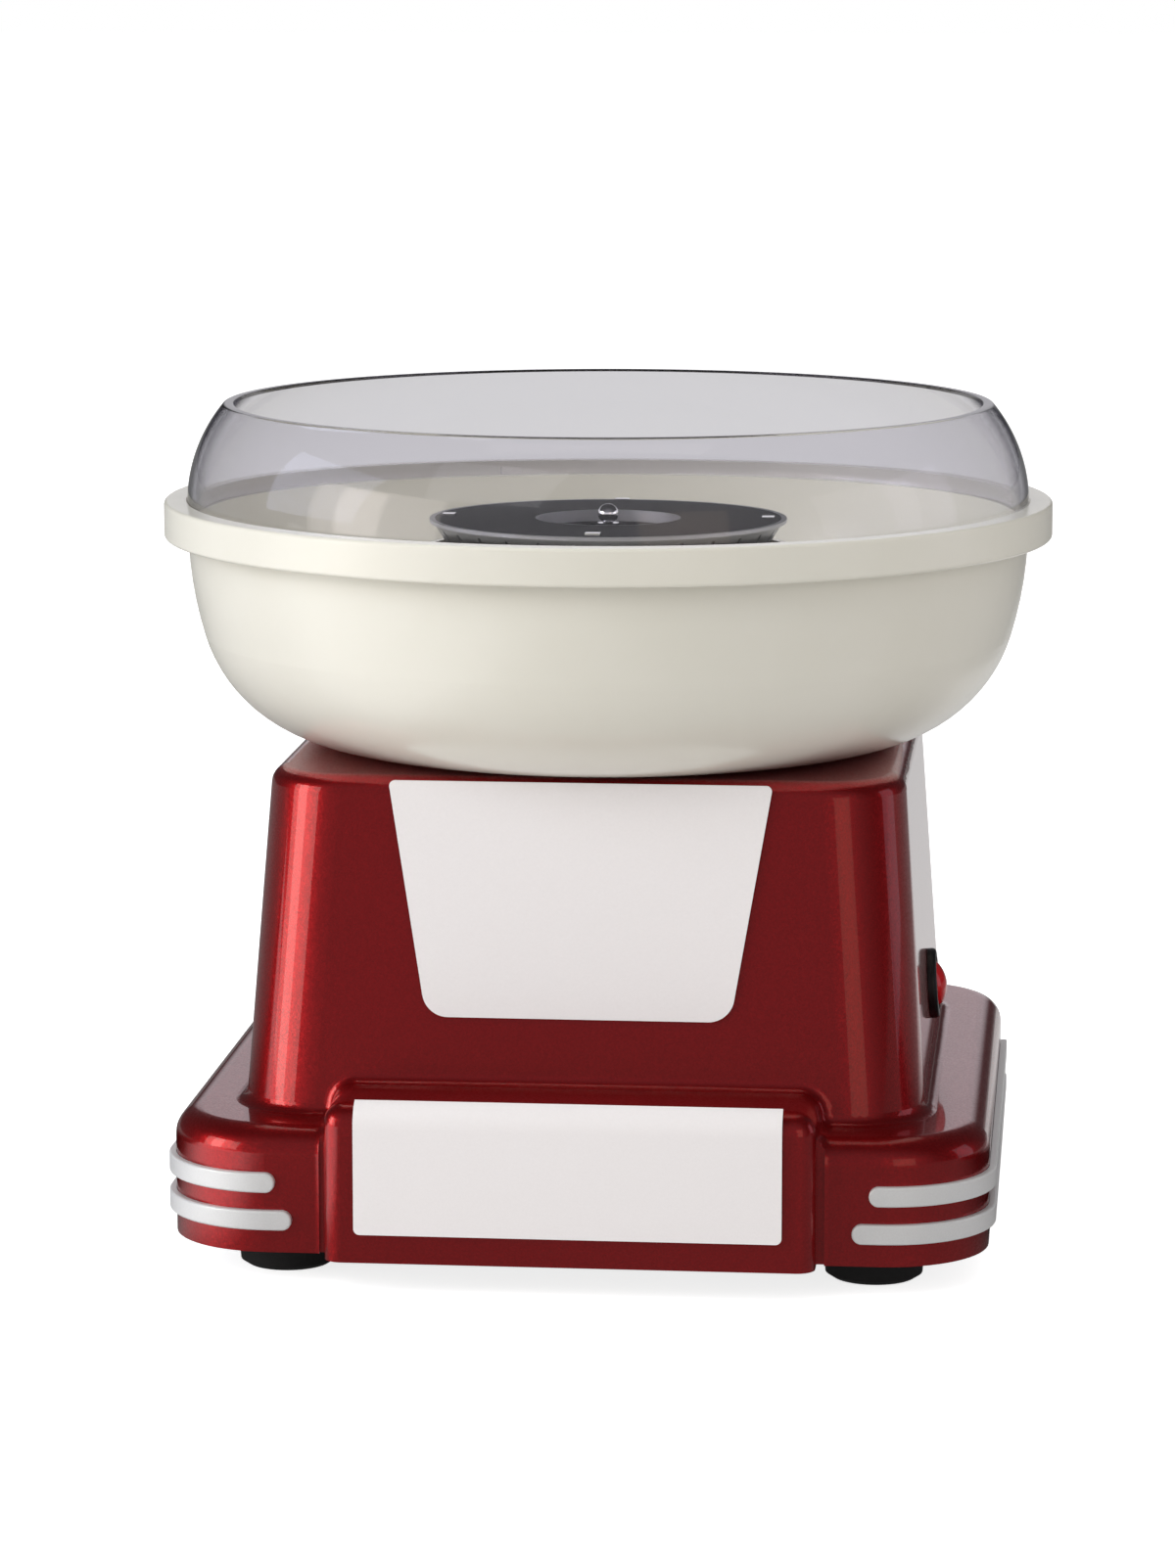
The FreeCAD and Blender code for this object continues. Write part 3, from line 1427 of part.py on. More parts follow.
def head_band():
    """The perforated band that the melted sugar flies out of, flared towards the plate."""
    inner = f"({BAND_FOOT} - band_wall)"
    body = turned(
        "head_band",
        [
            (inner, HEAD_FLOOR_TOP),
            (BAND_FOOT, HEAD_FLOOR_TOP),
            (BAND_RADIUS, PLATE_BOTTOM),
            (f"({BAND_RADIUS} - band_wall)", PLATE_BOTTOM),
        ],
    )
    slot = new_sketch(body, "YZ_Plane", f"({inner} - {PAST})")
    half_width = "(0.5 * band_slot_width)"
    middle = f"(0.5 * ({HEAD_FLOOR_TOP} + {PLATE_BOTTOM}))"
    half_height = "(0.5 * band_slot_height)"
    draw_box(slot, f"-{half_width}", half_width, f"({middle} - {half_height})", f"({middle} + {half_height})")
    cut = pocket(body, slot, f"(band_wall + band_flare + 2 * {PAST})", backwards=True)
    repeat_round(body, cut, "band_slot_count")
    return node(body, "head_band")


def head_top_plate():
    """The dark plate on top of the head, with a sunk well for the sugar."""
    outer_well = "(well_radius + head_sheet)"
    body = turned(
        "head_top_plate",
        [
            ("(knob_stem + screw_slack)", WELL_BOTTOM),
            (outer_well, WELL_BOTTOM),
            (outer_well, PLATE_BOTTOM),
            (HEAD_RADIUS, PLATE_BOTTOM),
            (HEAD_RADIUS, HEAD_TOP),
            ("well_radius", HEAD_TOP),
            ("well_radius", WELL_TOP),
            ("(knob_stem + screw_slack)", WELL_TOP),
        ],
    )
    hole = new_sketch(body, "XY_Plane", WELL_TOP)
    draw_circle(hole, "sugar_hole_radius", "sugar_hole_circle", "0")
    cut = pocket(body, hole, "head_sheet")
    repeat_round(body, cut, "sugar_hole_count")
    slot = new_sketch(body, "XY_Plane", HEAD_TOP)
    half_width = "(0.5 * tab_width + tab_slack)"
    inner, outer = tab_leg()
    draw_box(slot, f"({inner} - tab_slack)", f"({outer} + tab_slack)", f"-{half_width}", half_width)
    cut = pocket(body, slot, "head_sheet")
    repeat_round(body, cut, "tab_count")
    return node(body, "head_top_plate")


def tab_leg():
    """Inner and outer radius of the upright leg of a head tab, just inside the band's foot."""
    outer = f"({BAND_FOOT} - band_wall - cover_gap)"
    return f"({outer} - tab_thickness)", outer


def head_tabs():
    """Bent tabs that stand on the dish, pass through the plate and lap over it."""
    tab = new_body("tab")
    inner, outer = tab_leg()
    sketch = new_sketch(tab, "XZ_Plane", "-0.5 * tab_width")
    top = f"({HEAD_TOP} + skin_gap)"
    draw(
        sketch,
        [
            (inner, HEAD_FLOOR_TOP),
            (outer, HEAD_FLOOR_TOP),
            (outer, top),
            (f"({outer} + tab_lap)", top),
            (f"({outer} + tab_lap)", f"({top} + tab_thickness)"),
            (inner, f"({top} + tab_thickness)"),
        ],
    )
    extrude(tab, sketch, "tab_width")
    count = int(SIZES["tab_count"])
    copies("head_clips", tab, [{"angle": f"({index} * 360 / tab_count)"} for index in range(count)])


def head_knob():
    """The chrome ball on the screw that holds the plate to the hub."""
    cap = "(knob_radius - knob_sink)"
    ball = f"({WELL_TOP} + knob_collar_height + {cap})"
    neck = f"sqrt(knob_radius * knob_radius - {cap} * {cap})"
    body = turned(
        "head_knob",
        [
            ("0", f"({WELL_BOTTOM} - 2 * head_sheet + screw_slack)"),
            ("knob_stem", f"({WELL_BOTTOM} - 2 * head_sheet + screw_slack)"),
            ("knob_stem", WELL_TOP),
            ("knob_collar", WELL_TOP),
            ("knob_collar", f"({WELL_TOP} + knob_collar_height)"),
            (neck, f"({WELL_TOP} + knob_collar_height)", "knob_radius", LEFT),
            ("knob_radius", ball, "knob_radius", LEFT),
            ("0", f"({ball} + knob_radius)"),
        ],
    )
    return node(body, "head_knob")


# ---------------------------------------------------------------- bowl and guard


def bowl_arcs():
    """Radius of the bowl's long side arc, and the unit normal where it meets the turn below.

    The side arc is upright under the guard's ledge and tangent to the turn that leaves the flat foot.
    """
    width = "(bowl_side_run - rim_overhang)"
    climb = f"({BELLY} - {BOWL_SEAT} - bowl_turn_radius)"
    turn = "bowl_turn_radius"
    side = f"(({width} * {width} + {climb} * {climb} - {turn} * {turn}) / (2 * ({width} - {turn})))"
    return side, f"(({side} - {width}) / ({side} - {turn}))", f"({climb} / ({side} - {turn}))"


def bowl():
    """The cream bowl: flat foot, rounded side, rolled rim with a ledge, and a tall central hub."""
    side, normal_out, normal_down = bowl_arcs()
    foot = "(rim_radius - bowl_side_run)"
    belly = "(rim_radius - rim_overhang)"
    turn_height = f"({BOWL_SEAT} + bowl_turn_radius)"
    inner_turn = "(bowl_turn_radius - bowl_wall)"
    inner_side = f"({side} - bowl_wall)"
    skirt = "(rim_radius - bowl_wall)"
    hub_slope = f"(({HUB_FOOT} - {HUB_MOUTH}) / ({HUB_TOP} - {BOWL_SEAT}))"
    hub_floor = f"({HUB_FOOT} + bowl_wall - bowl_wall * {hub_slope})"

    def turn_end(radius):
        return f"({foot} + {radius} * {normal_out})", f"({turn_height} - {radius} * {normal_down})"

    body = turned(
        "bowl",
        [
            (HUB_FOOT, BOWL_SEAT),
            (foot, BOWL_SEAT, "bowl_turn_radius", LEFT),
            (*turn_end("bowl_turn_radius"), side, LEFT),
            (belly, BELLY),
            (f"({SEAT_RADIUS} + bowl_wall)", BELLY),
            (f"({SEAT_RADIUS} + bowl_wall)", f"({RIM_TOP} - bowl_wall)"),
            (skirt, f"({RIM_TOP} - bowl_wall)"),
            (skirt, RIM_SKIRT_BOTTOM),
            ("rim_radius", RIM_SKIRT_BOTTOM),
            ("rim_radius", RIM_TOP),
            (SEAT_RADIUS, RIM_TOP),
            (SEAT_RADIUS, GUARD_LEDGE),
            (f"({belly} - bowl_wall)", GUARD_LEDGE),
            (f"({belly} - bowl_wall)", BELLY, inner_side, RIGHT),
            (*turn_end(inner_turn), inner_turn, RIGHT),
            (foot, f"({BOWL_SEAT} + bowl_wall)"),
            (hub_floor, f"({BOWL_SEAT} + bowl_wall)"),
            (f"({HUB_MOUTH} + bowl_wall)", HUB_TOP),
            (HUB_MOUTH, HUB_TOP),
        ],
    )
    round_edges(body, "rim_round", is_rim_edge)
    return node(body, "bowl")


def is_rim_edge(edge):
    """The two outer edges of the rim, above and below its skirt."""
    across = math.hypot(edge.Vertexes[0].X, edge.Vertexes[0].Y)
    return near(across, "rim_radius") and (flat_at(edge, RIM_TOP) or flat_at(edge, RIM_SKIRT_BOTTOM))


def splash_guard():
    """The clear guard: upright at its foot, curving in to an open top, with three lugs inside."""
    rise = "(guard_height - guard_upright)"
    sweep = f"((guard_lean * guard_lean + {rise} * {rise}) / (2 * guard_lean))"
    inner_sweep = f"({sweep} - guard_wall)"
    top = f"({GUARD_BOTTOM} + guard_height)"
    spring = f"({GUARD_BOTTOM} + guard_upright)"
    inner_top = f"({GUARD_RADIUS} - {sweep} + sqrt({inner_sweep} * {inner_sweep} - {rise} * {rise}))"
    inner = f"({GUARD_RADIUS} - guard_wall)"
    body = turned(
        "splash_guard",
        [
            (inner, GUARD_BOTTOM),
            (GUARD_RADIUS, GUARD_BOTTOM),
            (GUARD_RADIUS, spring, sweep, LEFT),
            (f"({GUARD_RADIUS} - guard_lean)", top),
            (inner_top, top, inner_sweep, RIGHT),
            (inner, spring),
        ],
    )
    lug = new_sketch(body, "XY_Plane", f"({GUARD_BOTTOM} + seat_gap)")
    half_width = "(0.5 * guard_lug_width)"
    root = f"({inner} + 0.5 * guard_wall)"
    draw_box(lug, f"({inner} - guard_lug_thickness)", root, f"-{half_width}", half_width)
    pad = extrude(body, lug, "guard_lug_height")
    repeat_round(body, pad, "3")
    place(body, angle="guard_lug_turn_angle")
    return node(body, "splash_guard")


# ---------------------------------------------------------------- power parts


def board_corners():
    """The four standoffs under the board."""
    half_length = "(0.5 * board_length - standoff_inset)"
    half_width = "(0.5 * board_width - standoff_inset)"
    return [
        (f"(board_x {across} {half_length})", f"(board_y {along} {half_width})")
        for across in "+-"
        for along in "+-"
    ]


def rectifier_board():
    """The board that turns mains into the motor's direct current, and its two large parts."""
    board = doc.addObject("Part::Box", "rectifier_board")
    bind(board, Length="board_length", Width="board_width", Height="board_thickness")
    bottom = f"({COVER_TOP} + board_rise)"
    place(board, "(board_x - 0.5 * board_length)", "(board_y - 0.5 * board_width)", bottom)
    node(board, "rectifier_board")
    top = f"({bottom} + board_thickness)"
    bridge = doc.addObject("Part::Box", "bridge_rectifier")
    bind(bridge, Length="bridge_size", Width="bridge_size", Height="bridge_height")
    place(bridge, "(board_x - 0.5 * board_length + bridge_inset)", "(board_y - 0.5 * bridge_size)", top)
    node(bridge, "bridge_rectifier")
    capacitor = doc.addObject("Part::Cylinder", "capacitor")
    bind(capacitor, Radius="capacitor_radius", Height="capacitor_height")
    place(capacitor, "(board_x + 0.5 * board_length - capacitor_inset)", "board_y", top)
    node(capacitor, "capacitor")


def terminal_block():
    """The block on the cover where the cord's cores end, with one screw hole for each way."""
    body = new_body("terminal_block")
    sketch = new_sketch(body, "XY_Plane", COVER_TOP)
    half_length = "(0.5 * terminal_length)"
    half_width = "(0.5 * terminal_width)"
    draw_box(sketch, f"-{half_width}", half_width, f"-{half_length}", half_length)
    extrude(body, sketch, "terminal_height")
    hole = new_sketch(body, "XY_Plane", f"({COVER_TOP} + terminal_height)")
    draw_circle(hole, "terminal_hole", "0", "-0.5 * (terminal_count - 1) * terminal_pitch")
    cut = pocket(body, hole, "terminal_depth")
    repeat_line(body, cut, "Y_Axis", "terminal_count", "terminal_pitch")
    place(body, "terminal_x", "board_y")
    return node(body, "terminal_block")


# ---------------------------------------------------------------- build, check and write


def build():
    for make in (
        housing,
        bottom_cover,
        feet,
        underside_screws,
        cord_gland,
        front_panel,
        nameplate,
        trim,
        switch_housing,
        switch_rocker,
        switch_terminals,
        heater_housing,
        reflector_pan,
        heating_element,
        heater_bushes,
        heater_clips,
        thermal_cutout,
        heater_screws,
        motor_can,
        motor_end_bell,
        motor_bearings,
        motor_magnets,
        motor_terminals,
        motor_shaft,
        motor_rotor,
        motor_commutator,
        drive_pin,
        head_hub,
        head_dish,
        head_band,
        head_top_plate,
        head_tabs,
        head_knob,
        bowl,
        splash_guard,
        rectifier_board,
        terminal_block,
    ):
        make()
    doc.recompute()


def check():
    """Stop if any object failed or any piece is not a sound solid."""
    for thing in doc.Objects:
        if "Invalid" in thing.State or "Error" in thing.State:
            raise RuntimeError(f"{thing.Name} ({thing.Label}) failed")
    for piece in nodes:
        if piece.Shape.isNull() or not piece.Shape.isValid() or not piece.Shape.Solids:
            raise RuntimeError(f"{piece.Label} is not a sound solid")


def write():
    os.makedirs("parts", exist_ok=True)
    for piece in nodes:
        piece.Shape.exportStep(f"parts/{piece.Label}.step")
        box = piece.Shape.BoundBox
        print(
            f"{piece.Label}: {len(piece.Shape.Solids)} solid(s), "
            f"x {box.XMin:.1f} to {box.XMax:.1f}, y {box.YMin:.1f} to {box.YMax:.1f}, "
            f"z {box.ZMin:.1f} to {box.ZMax:.1f}"
        )


build()
check()
write()
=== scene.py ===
# %% [markdown]
# # A tabletop cotton candy machine, dressed and lit
# A small electric machine: a red lacquered housing on four rubber feet, a cream bowl with a
# clear splash guard, and a spinning head that melts sugar over a heating ring.
# The solids come from a CAD file and stay where they are. This lesson gives each of them the
# finish that its real material has, grows the guard and the screws that show, whose soft lips
# and cross recesses are easier in Blender, and sets up a plain white studio.

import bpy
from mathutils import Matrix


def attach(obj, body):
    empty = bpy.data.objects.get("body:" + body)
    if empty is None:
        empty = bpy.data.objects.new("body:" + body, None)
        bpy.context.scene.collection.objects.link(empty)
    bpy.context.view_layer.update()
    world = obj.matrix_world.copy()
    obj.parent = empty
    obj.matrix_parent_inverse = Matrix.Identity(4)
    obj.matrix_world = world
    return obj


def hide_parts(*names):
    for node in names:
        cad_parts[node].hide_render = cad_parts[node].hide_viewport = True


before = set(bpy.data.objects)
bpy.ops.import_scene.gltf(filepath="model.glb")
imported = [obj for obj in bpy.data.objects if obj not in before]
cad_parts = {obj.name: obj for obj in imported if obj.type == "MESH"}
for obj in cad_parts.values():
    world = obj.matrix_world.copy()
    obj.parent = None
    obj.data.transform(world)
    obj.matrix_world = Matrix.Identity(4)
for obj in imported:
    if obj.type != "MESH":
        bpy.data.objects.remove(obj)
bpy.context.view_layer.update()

# %% [markdown]
# Sizes of the machine, and the camera's place, are written in millimetres, as on a drawing, and
# turned into metres where they are used. The floor, the lamps and all levels of light are given
# in Blender's own units, so their distances are metres.

# %% The rest of the tools
import math

import bmesh
import bpy
from mathutils import Vector

MM = 0.001
MM_PER_M = 1000.0
WHITE = (1.0, 1.0, 1.0, 1.0)
print("one millimetre is", MM, "m")

# %% [markdown]
# Colours are easiest to read as the hex codes that a paint chart or a colour picker gives. The
# shaders want linear light, so one function turns the one into the other.


# %% Colours from hex codes
def colour(hex_code):
    """A hex colour, such as "#8E1B1E", as linear red, green, blue and alpha."""
    shares = [int(hex_code[i : i + 2], 16) / 255 for i in (1, 3, 5)]
    linear = [s / 12.92 if s <= 0.04045 else ((s + 0.055) / 1.055) ** 2.4 for s in shares]
    return (*linear, 1.0)


print("a deep red is", [round(c, 3) for c in colour("#8E1B1E")])

# %% [markdown]
# Every material and the studio itself are small graphs of nodes. One helper adds a node, fills
# in its settings and joins its inputs, so each finish below reads as a short list.


# %% Adding one node
def add(tree, kind, values=None, links=None, **settings):
    """Adds a node: settings are its properties, values its inputs, links its inputs' sources."""
    made = tree.nodes.new(kind)
    for name, setting in settings.items():
        setattr(made, name, setting)
    for socket, value in (values or {}).items():
        made.inputs[socket].default_value = value
    for socket, (source, output) in (links or {}).items():
        tree.links.new(source.outputs[output], made.inputs[socket])
    return made


print("helper ready")

# %% [markdown]
# ## The camera
# A long lens keeps the machine's sides nearly parallel, where a short one would spread its foot
# and bowl apart. It stands a little above the bowl and to the right of the middle, is turned to
# the left to face the machine and looks down by nine degrees. The turn and the tilt are in
# radians.

# %% Camera
LENS = 118.45
EYE = Vector((161.57, -1732.77, 432.81)) * MM
PAN, TILT = 0.0970, 0.1642
NEAREST, FARTHEST = 0.05, 60.0

camera = bpy.data.objects.new("studio_camera", bpy.data.cameras.new("studio_camera"))
camera.data.lens = LENS
camera.data.clip_start = NEAREST
camera.data.clip_end = FARTHEST
sight = Vector((-math.sin(PAN) * math.cos(TILT), math.cos(PAN) * math.cos(TILT), -math.sin(TILT)))
camera.rotation_euler = sight.to_track_quat("-Z", "Y").to_euler()
camera.location = EYE
bpy.context.scene.collection.objects.link(camera)
bpy.context.scene.camera = camera
bpy.context.scene.view_settings.view_transform = "Standard"
print("camera at", [round(c, 3) for c in EYE])

# %% [markdown]
# ## The white room
# The machine stands in a sweep of white paper. Glossy lacquer is a mirror, though, and in a
# studio most of what it mirrors is dark cloth. So mirror rays get surroundings of their own: lit
# paper straight behind the machine, nearly black cloth round it, and a dim room in front. That
# keeps the front of the housing deep red and turns its top and right-hand side, which the lens
# sees at a glancing angle, silver grey. Real sheets could be hung round the machine instead, but
# three levels with soft edges are easier to place.
# The paper's edges are cosines of the angle from its middle, so a dot product finds them. The
# room's are parts of the ray's way towards the back.

# %% What mirrors see of the room
BACKDROP_LEVEL, CLOTH_LEVEL, ROOM_LEVEL = 0.64, 0.04, 0.16
PAPER_WAY = (-0.06, 0.984, 0.165)
PAPER_EDGE, PAPER_FULL = 0.968, 0.99
ROOM_EDGE, ROOM_FULL = -0.2, -0.9

world = bpy.data.worlds.new("white_room")
bpy.context.scene.world = world
world.use_nodes = True
room = world.node_tree
room.nodes.clear()
towards = add(room, "ShaderNodeTexCoord")
parts = add(room, "ShaderNodeSeparateXYZ", links={"Vector": (towards, "Generated")})
towards_paper = add(
    room,
    "ShaderNodeVectorMath",
    {1: PAPER_WAY},
    {0: (towards, "Generated")},
    operation="DOT_PRODUCT",
)
backdrop = add(
    room,
    "ShaderNodeMapRange",
    {
        "From Min": PAPER_EDGE,
        "From Max": PAPER_FULL,
        "To Min": CLOTH_LEVEL,
        "To Max": BACKDROP_LEVEL,
    },
    {"Value": (towards_paper, "Value")},
    interpolation_type="SMOOTHSTEP",
)
dim_room = add(
    room,
    "ShaderNodeMapRange",
    {"From Min": ROOM_EDGE, "From Max": ROOM_FULL, "To Max": ROOM_LEVEL},
    {"Value": (parts, "Y")},
    interpolation_type="SMOOTHSTEP",
)
mirrored = add(
    room,
    "ShaderNodeMath",
    links={0: (backdrop, "Result"), 1: (dim_room, "Result")},
    operation="ADD",
)
print("in mirrors: paper", BACKDROP_LEVEL, "cloth", CLOTH_LEVEL, "room up to", ROOM_LEVEL)

# %% [markdown]
# A Light Path node says which kind of ray is asking. What the lens sees, straight on or through
# the clear plastic, is pure white paper. Mirror rays get the surroundings above. All other rays,
# which light the matt surfaces, get an even soft fill.

# %% World
FILL_LEVEL = 0.5

rays = add(room, "ShaderNodeLightPath")
seen = add(
    room,
    "ShaderNodeMath",
    links={0: (rays, "Is Camera Ray"), 1: (rays, "Is Transmission Ray")},
    operation="MAXIMUM",
)
fill = add(room, "ShaderNodeBackground", {"Color": WHITE, "Strength": FILL_LEVEL})
mirror = add(
    room, "ShaderNodeBackground", {"Color": colour("#FBF9FF")}, {"Strength": (mirrored, 0)}
)
paper = add(room, "ShaderNodeBackground", {"Color": WHITE, "Strength": 1.0})
lit = add(
    room, "ShaderNodeMixShader", links={0: (rays, "Is Glossy Ray"), 1: (fill, 0), 2: (mirror, 0)}
)
shown = add(room, "ShaderNodeMixShader", links={0: (seen, 0), 1: (lit, 0), 2: (paper, 0)})
add(room, "ShaderNodeOutputWorld", links={"Surface": (shown, 0)})
print("world nodes:", len(room.nodes))

# %% [markdown]
# ### The paper floor
# The floor is the same paper, a wide flat sheet. It lies a hair below the feet, so that the two
# faces don't fight for the same place.

# %% Floor sheet
FLOOR_HALF = 20.0
FLOOR_Z = -0.05 * MM

floor_mesh = bpy.data.meshes.new("paper_floor")
signs = ((-1, -1), (1, -1), (1, 1), (-1, 1))
corners = [(x * FLOOR_HALF, y * FLOOR_HALF, FLOOR_Z) for x, y in signs]
floor_mesh.from_pydata(corners, [], [(0, 1, 2, 3)])
floor = bpy.data.objects.new("paper_floor", floor_mesh)
bpy.context.scene.collection.objects.link(floor)
print("floor is", 2 * FLOOR_HALF, "m square")

# %% [markdown]
# To the lens the floor is a plain matt white that takes the machine's soft shadow. It also glows
# a little, for the lens alone, so that it ends up as white as the backdrop.

# %% Floor as the lens sees it
FLOOR_GLOW = 0.8

floor_paper = bpy.data.materials.new("paper_sweep")
floor_paper.use_nodes = True
sweep = floor_paper.node_tree
sweep.nodes.clear()
floor_rays = add(sweep, "ShaderNodeLightPath")
glow = add(
    sweep,
    "ShaderNodeMath",
    {1: FLOOR_GLOW},
    {0: (floor_rays, "Is Camera Ray")},
    operation="MULTIPLY",
)
matt = add(sweep, "ShaderNodeBsdfDiffuse", {"Color": colour("#EBEBEB")})
light = add(sweep, "ShaderNodeEmission", {"Color": WHITE}, {"Strength": (glow, 0)})
plain_paper = add(sweep, "ShaderNodeAddShader", links={0: (matt, 0), 1: (light, 0)})
print("floor glows by", FLOOR_GLOW)

# %% [markdown]
# In a mirror the floor shows a painted glow in place of real lighting: it glows in a lane behind
# the machine and brighter still in front on the left, a painted pool of light near the lamps.
# Each of these parts fades in along one measure of the floor, so a table holds them all: the
# measure, where the fade starts and ends, and the levels at both ends.

# %% Fades of the floor's painted glow
LANE_X = 0.1
FLOOR_FADES = {
    "behind": ("Y", 0.05, 0.3, 0.0, BACKDROP_LEVEL),
    "lane": ("from lane", 0.33, 0.22, 0.3, 1.0),
    "left": ("X", -0.11, -0.22, 0.0, 1.2),
    "close": ("Y", -0.8, -0.45, 0.0, 1.0),
    "front": ("Y", 0.0, -0.15, 0.0, 1.0),
}

spot = add(sweep, "ShaderNodeTexCoord")
spot_parts = add(sweep, "ShaderNodeSeparateXYZ", links={"Vector": (spot, "Object")})
past_lane = add(sweep, "ShaderNodeMath", {1: -LANE_X}, {0: (spot_parts, "X")}, operation="ADD")
from_lane = add(sweep, "ShaderNodeMath", links={0: (past_lane, 0)}, operation="ABSOLUTE")
measures = {"X": (spot_parts, "X"), "Y": (spot_parts, "Y"), "from lane": (from_lane, 0)}
fades = {}
for name, (measure, start, end, start_level, end_level) in FLOOR_FADES.items():
    fade = add(
        sweep,
        "ShaderNodeMapRange",
        {"From Min": start, "From Max": end, "To Min": start_level, "To Max": end_level},
        {"Value": measures[measure]},
        interpolation_type="SMOOTHSTEP",
    )
    fades[name] = (fade, "Result")
print("fades on the floor:", ", ".join(fades))

# %% [markdown]
# Multiplying two fades keeps what lies in both, and the larger of two levels keeps what lies in
# either. So the lane behind is one product, the left is another over a dim front floor, and the
# mirror shows the larger. A last level is for rays that passed the clear plastic.

# %% Floor level in mirrors and through plastic
FRONT_FLOOR_LEVEL = 0.2
PAPER_THROUGH_PLASTIC = 0.76

lane_behind = add(
    sweep, "ShaderNodeMath", links={0: fades["behind"], 1: fades["lane"]}, operation="MULTIPLY"
)
left_close = add(
    sweep, "ShaderNodeMath", links={0: fades["left"], 1: fades["close"]}, operation="MULTIPLY"
)
front_painted_glow = add(
    sweep, "ShaderNodeMath", {1: FRONT_FLOOR_LEVEL}, {0: (left_close, 0)}, operation="MAXIMUM"
)
in_front = add(
    sweep, "ShaderNodeMath", links={0: (front_painted_glow, 0), 1: fades["front"]}, operation="MULTIPLY"
)
painted_glow_in_mirror = add(
    sweep, "ShaderNodeMath", links={0: (lane_behind, 0), 1: (in_front, 0)}, operation="MAXIMUM"
)
through = add(
    sweep,
    "ShaderNodeMath",
    {1: PAPER_THROUGH_PLASTIC},
    {0: (floor_rays, "Is Transmission Ray")},
    operation="MULTIPLY",
)
floor_level = add(
    sweep, "ShaderNodeMath", links={0: (painted_glow_in_mirror, 0), 1: (through, 0)}, operation="MAXIMUM"
)
print("dim front floor", FRONT_FLOOR_LEVEL, "and through plastic", PAPER_THROUGH_PLASTIC)

# %% [markdown]
# A ray that the guard bends counts as a mirror ray too, so the larger of the two marks chooses
# between the plain paper and the levels above. The sheet shows on its upper side alone, and the
# machine can be looked at from below.

# %% Floor put together
# Painted light: for mirror rays the floor glows by these levels, brighter near the lamps, in
# place of being lit.
painted_glow_sheet = add(
    sweep, "ShaderNodeEmission", {"Color": WHITE}, {"Strength": (floor_level, 0)}
)
indirect = add(
    sweep,
    "ShaderNodeMath",
    links={0: (floor_rays, "Is Glossy Ray"), 1: (floor_rays, "Is Transmission Ray")},
    operation="MAXIMUM",
)
top_side = add(
    sweep,
    "ShaderNodeMixShader",
    links={0: (indirect, 0), 1: (plain_paper, 0), 2: (painted_glow_sheet, 0)},
)
side = add(sweep, "ShaderNodeNewGeometry")
nothing = add(sweep, "ShaderNodeBsdfTransparent")
one_sided = add(
    sweep,
    "ShaderNodeMixShader",
    links={0: (side, "Backfacing"), 1: (top_side, 0), 2: (nothing, 0)},
)
add(sweep, "ShaderNodeOutputMaterial", links={"Surface": (one_sided, 0)})
floor.data.materials.append(floor_paper)
print("floor nodes:", len(sweep.nodes))

# %% [markdown]
# ## The lamps
# Softboxes do the drawing. Each lamp is given by where it stands round the machine and by how
# bright its cloth is, and not by its power, because that brightness is what a mirror shows.
# Azimuth 0 is in front and 90 to the right, in degrees.


# %% Softboxes
MIDDLE = Vector((0.0, 0.0, 0.14))


def softbox(name, azimuth, elevation, distance, size, level, tint, mirrored=True):
    """A lamp that faces the machine; its cloth can be kept out of the mirrors."""
    width, height = size
    round_it, up = math.radians(azimuth), math.radians(elevation)
    flat = math.cos(up)
    out = Vector((math.sin(round_it) * flat, -math.cos(round_it) * flat, math.sin(up)))
    lamp = bpy.data.lights.new(name, "AREA")
    lamp.shape = "RECTANGLE"
    lamp.size = width
    lamp.size_y = height
    # An even cloth sends out pi times its brightness from each square metre.
    lamp.energy = level * math.pi * width * height
    lamp.color = colour(tint)[:3]
    stand = bpy.data.objects.new(name, lamp)
    stand.location = MIDDLE + out * distance
    stand.rotation_euler = (-out).to_track_quat("-Z", "Y").to_euler()
    stand.visible_camera = False
    stand.visible_glossy = mirrored
    bpy.context.scene.collection.objects.link(stand)


print("lamps face", [round(c, 2) for c in MIDDLE])

# %% [markdown]
# On the left a narrow bright box stands within a wide soft one. Together they lay a band with a
# bright core on each round left-hand corner. Two weaker ones lay a cooler and a warmer band on
# the right-hand corners. The four fills light the bowl, the panels and other pale parts, and
# stay out of the mirrors.

# %% Lamps in their places
# Name, azimuth, elevation, distance, width and height, brightness and tint of the cloth.
softbox("left_core_softbox", -64, 8, 2.0, (0.5, 1.2), 2.3, "#FFF7EE")
softbox("left_softbox", -60, 8, 2.05, (1.5, 1.3), 1.75, "#FFF7EE")
softbox("right_softbox", 98, 8, 2.0, (0.85, 1.3), 0.52, "#F6ECFF")
softbox("front_right_softbox", 25, 6, 2.2, (0.9, 1.2), 0.5, "#FFE0C4")
softbox("left_fill", -82, 20, 2.0, (1.2, 1.0), 3.2, "#E2EAFF", mirrored=False)
softbox("front_fill", -30, 38, 2.2, (1.2, 1.0), 1.95, "#FFFFFF", mirrored=False)
softbox("right_fill", 80, 12, 2.0, (1.2, 1.0), 1.05, "#FFF8F8", mirrored=False)
softbox("overhead_fill", 0, 88, 2.0, (1.6, 1.6), 1.0, "#FFFCF6", mirrored=False)

# %% [markdown]
# ## Finishes
# Each finish starts from one physically based shader with the colour, gloss and metalness of the
# real material. A pattern then lets colour and gloss wander a little about those values.
# Patterns are placed by Object coordinates, which are metres here, so a pattern's size can be
# worked out from millimetres.


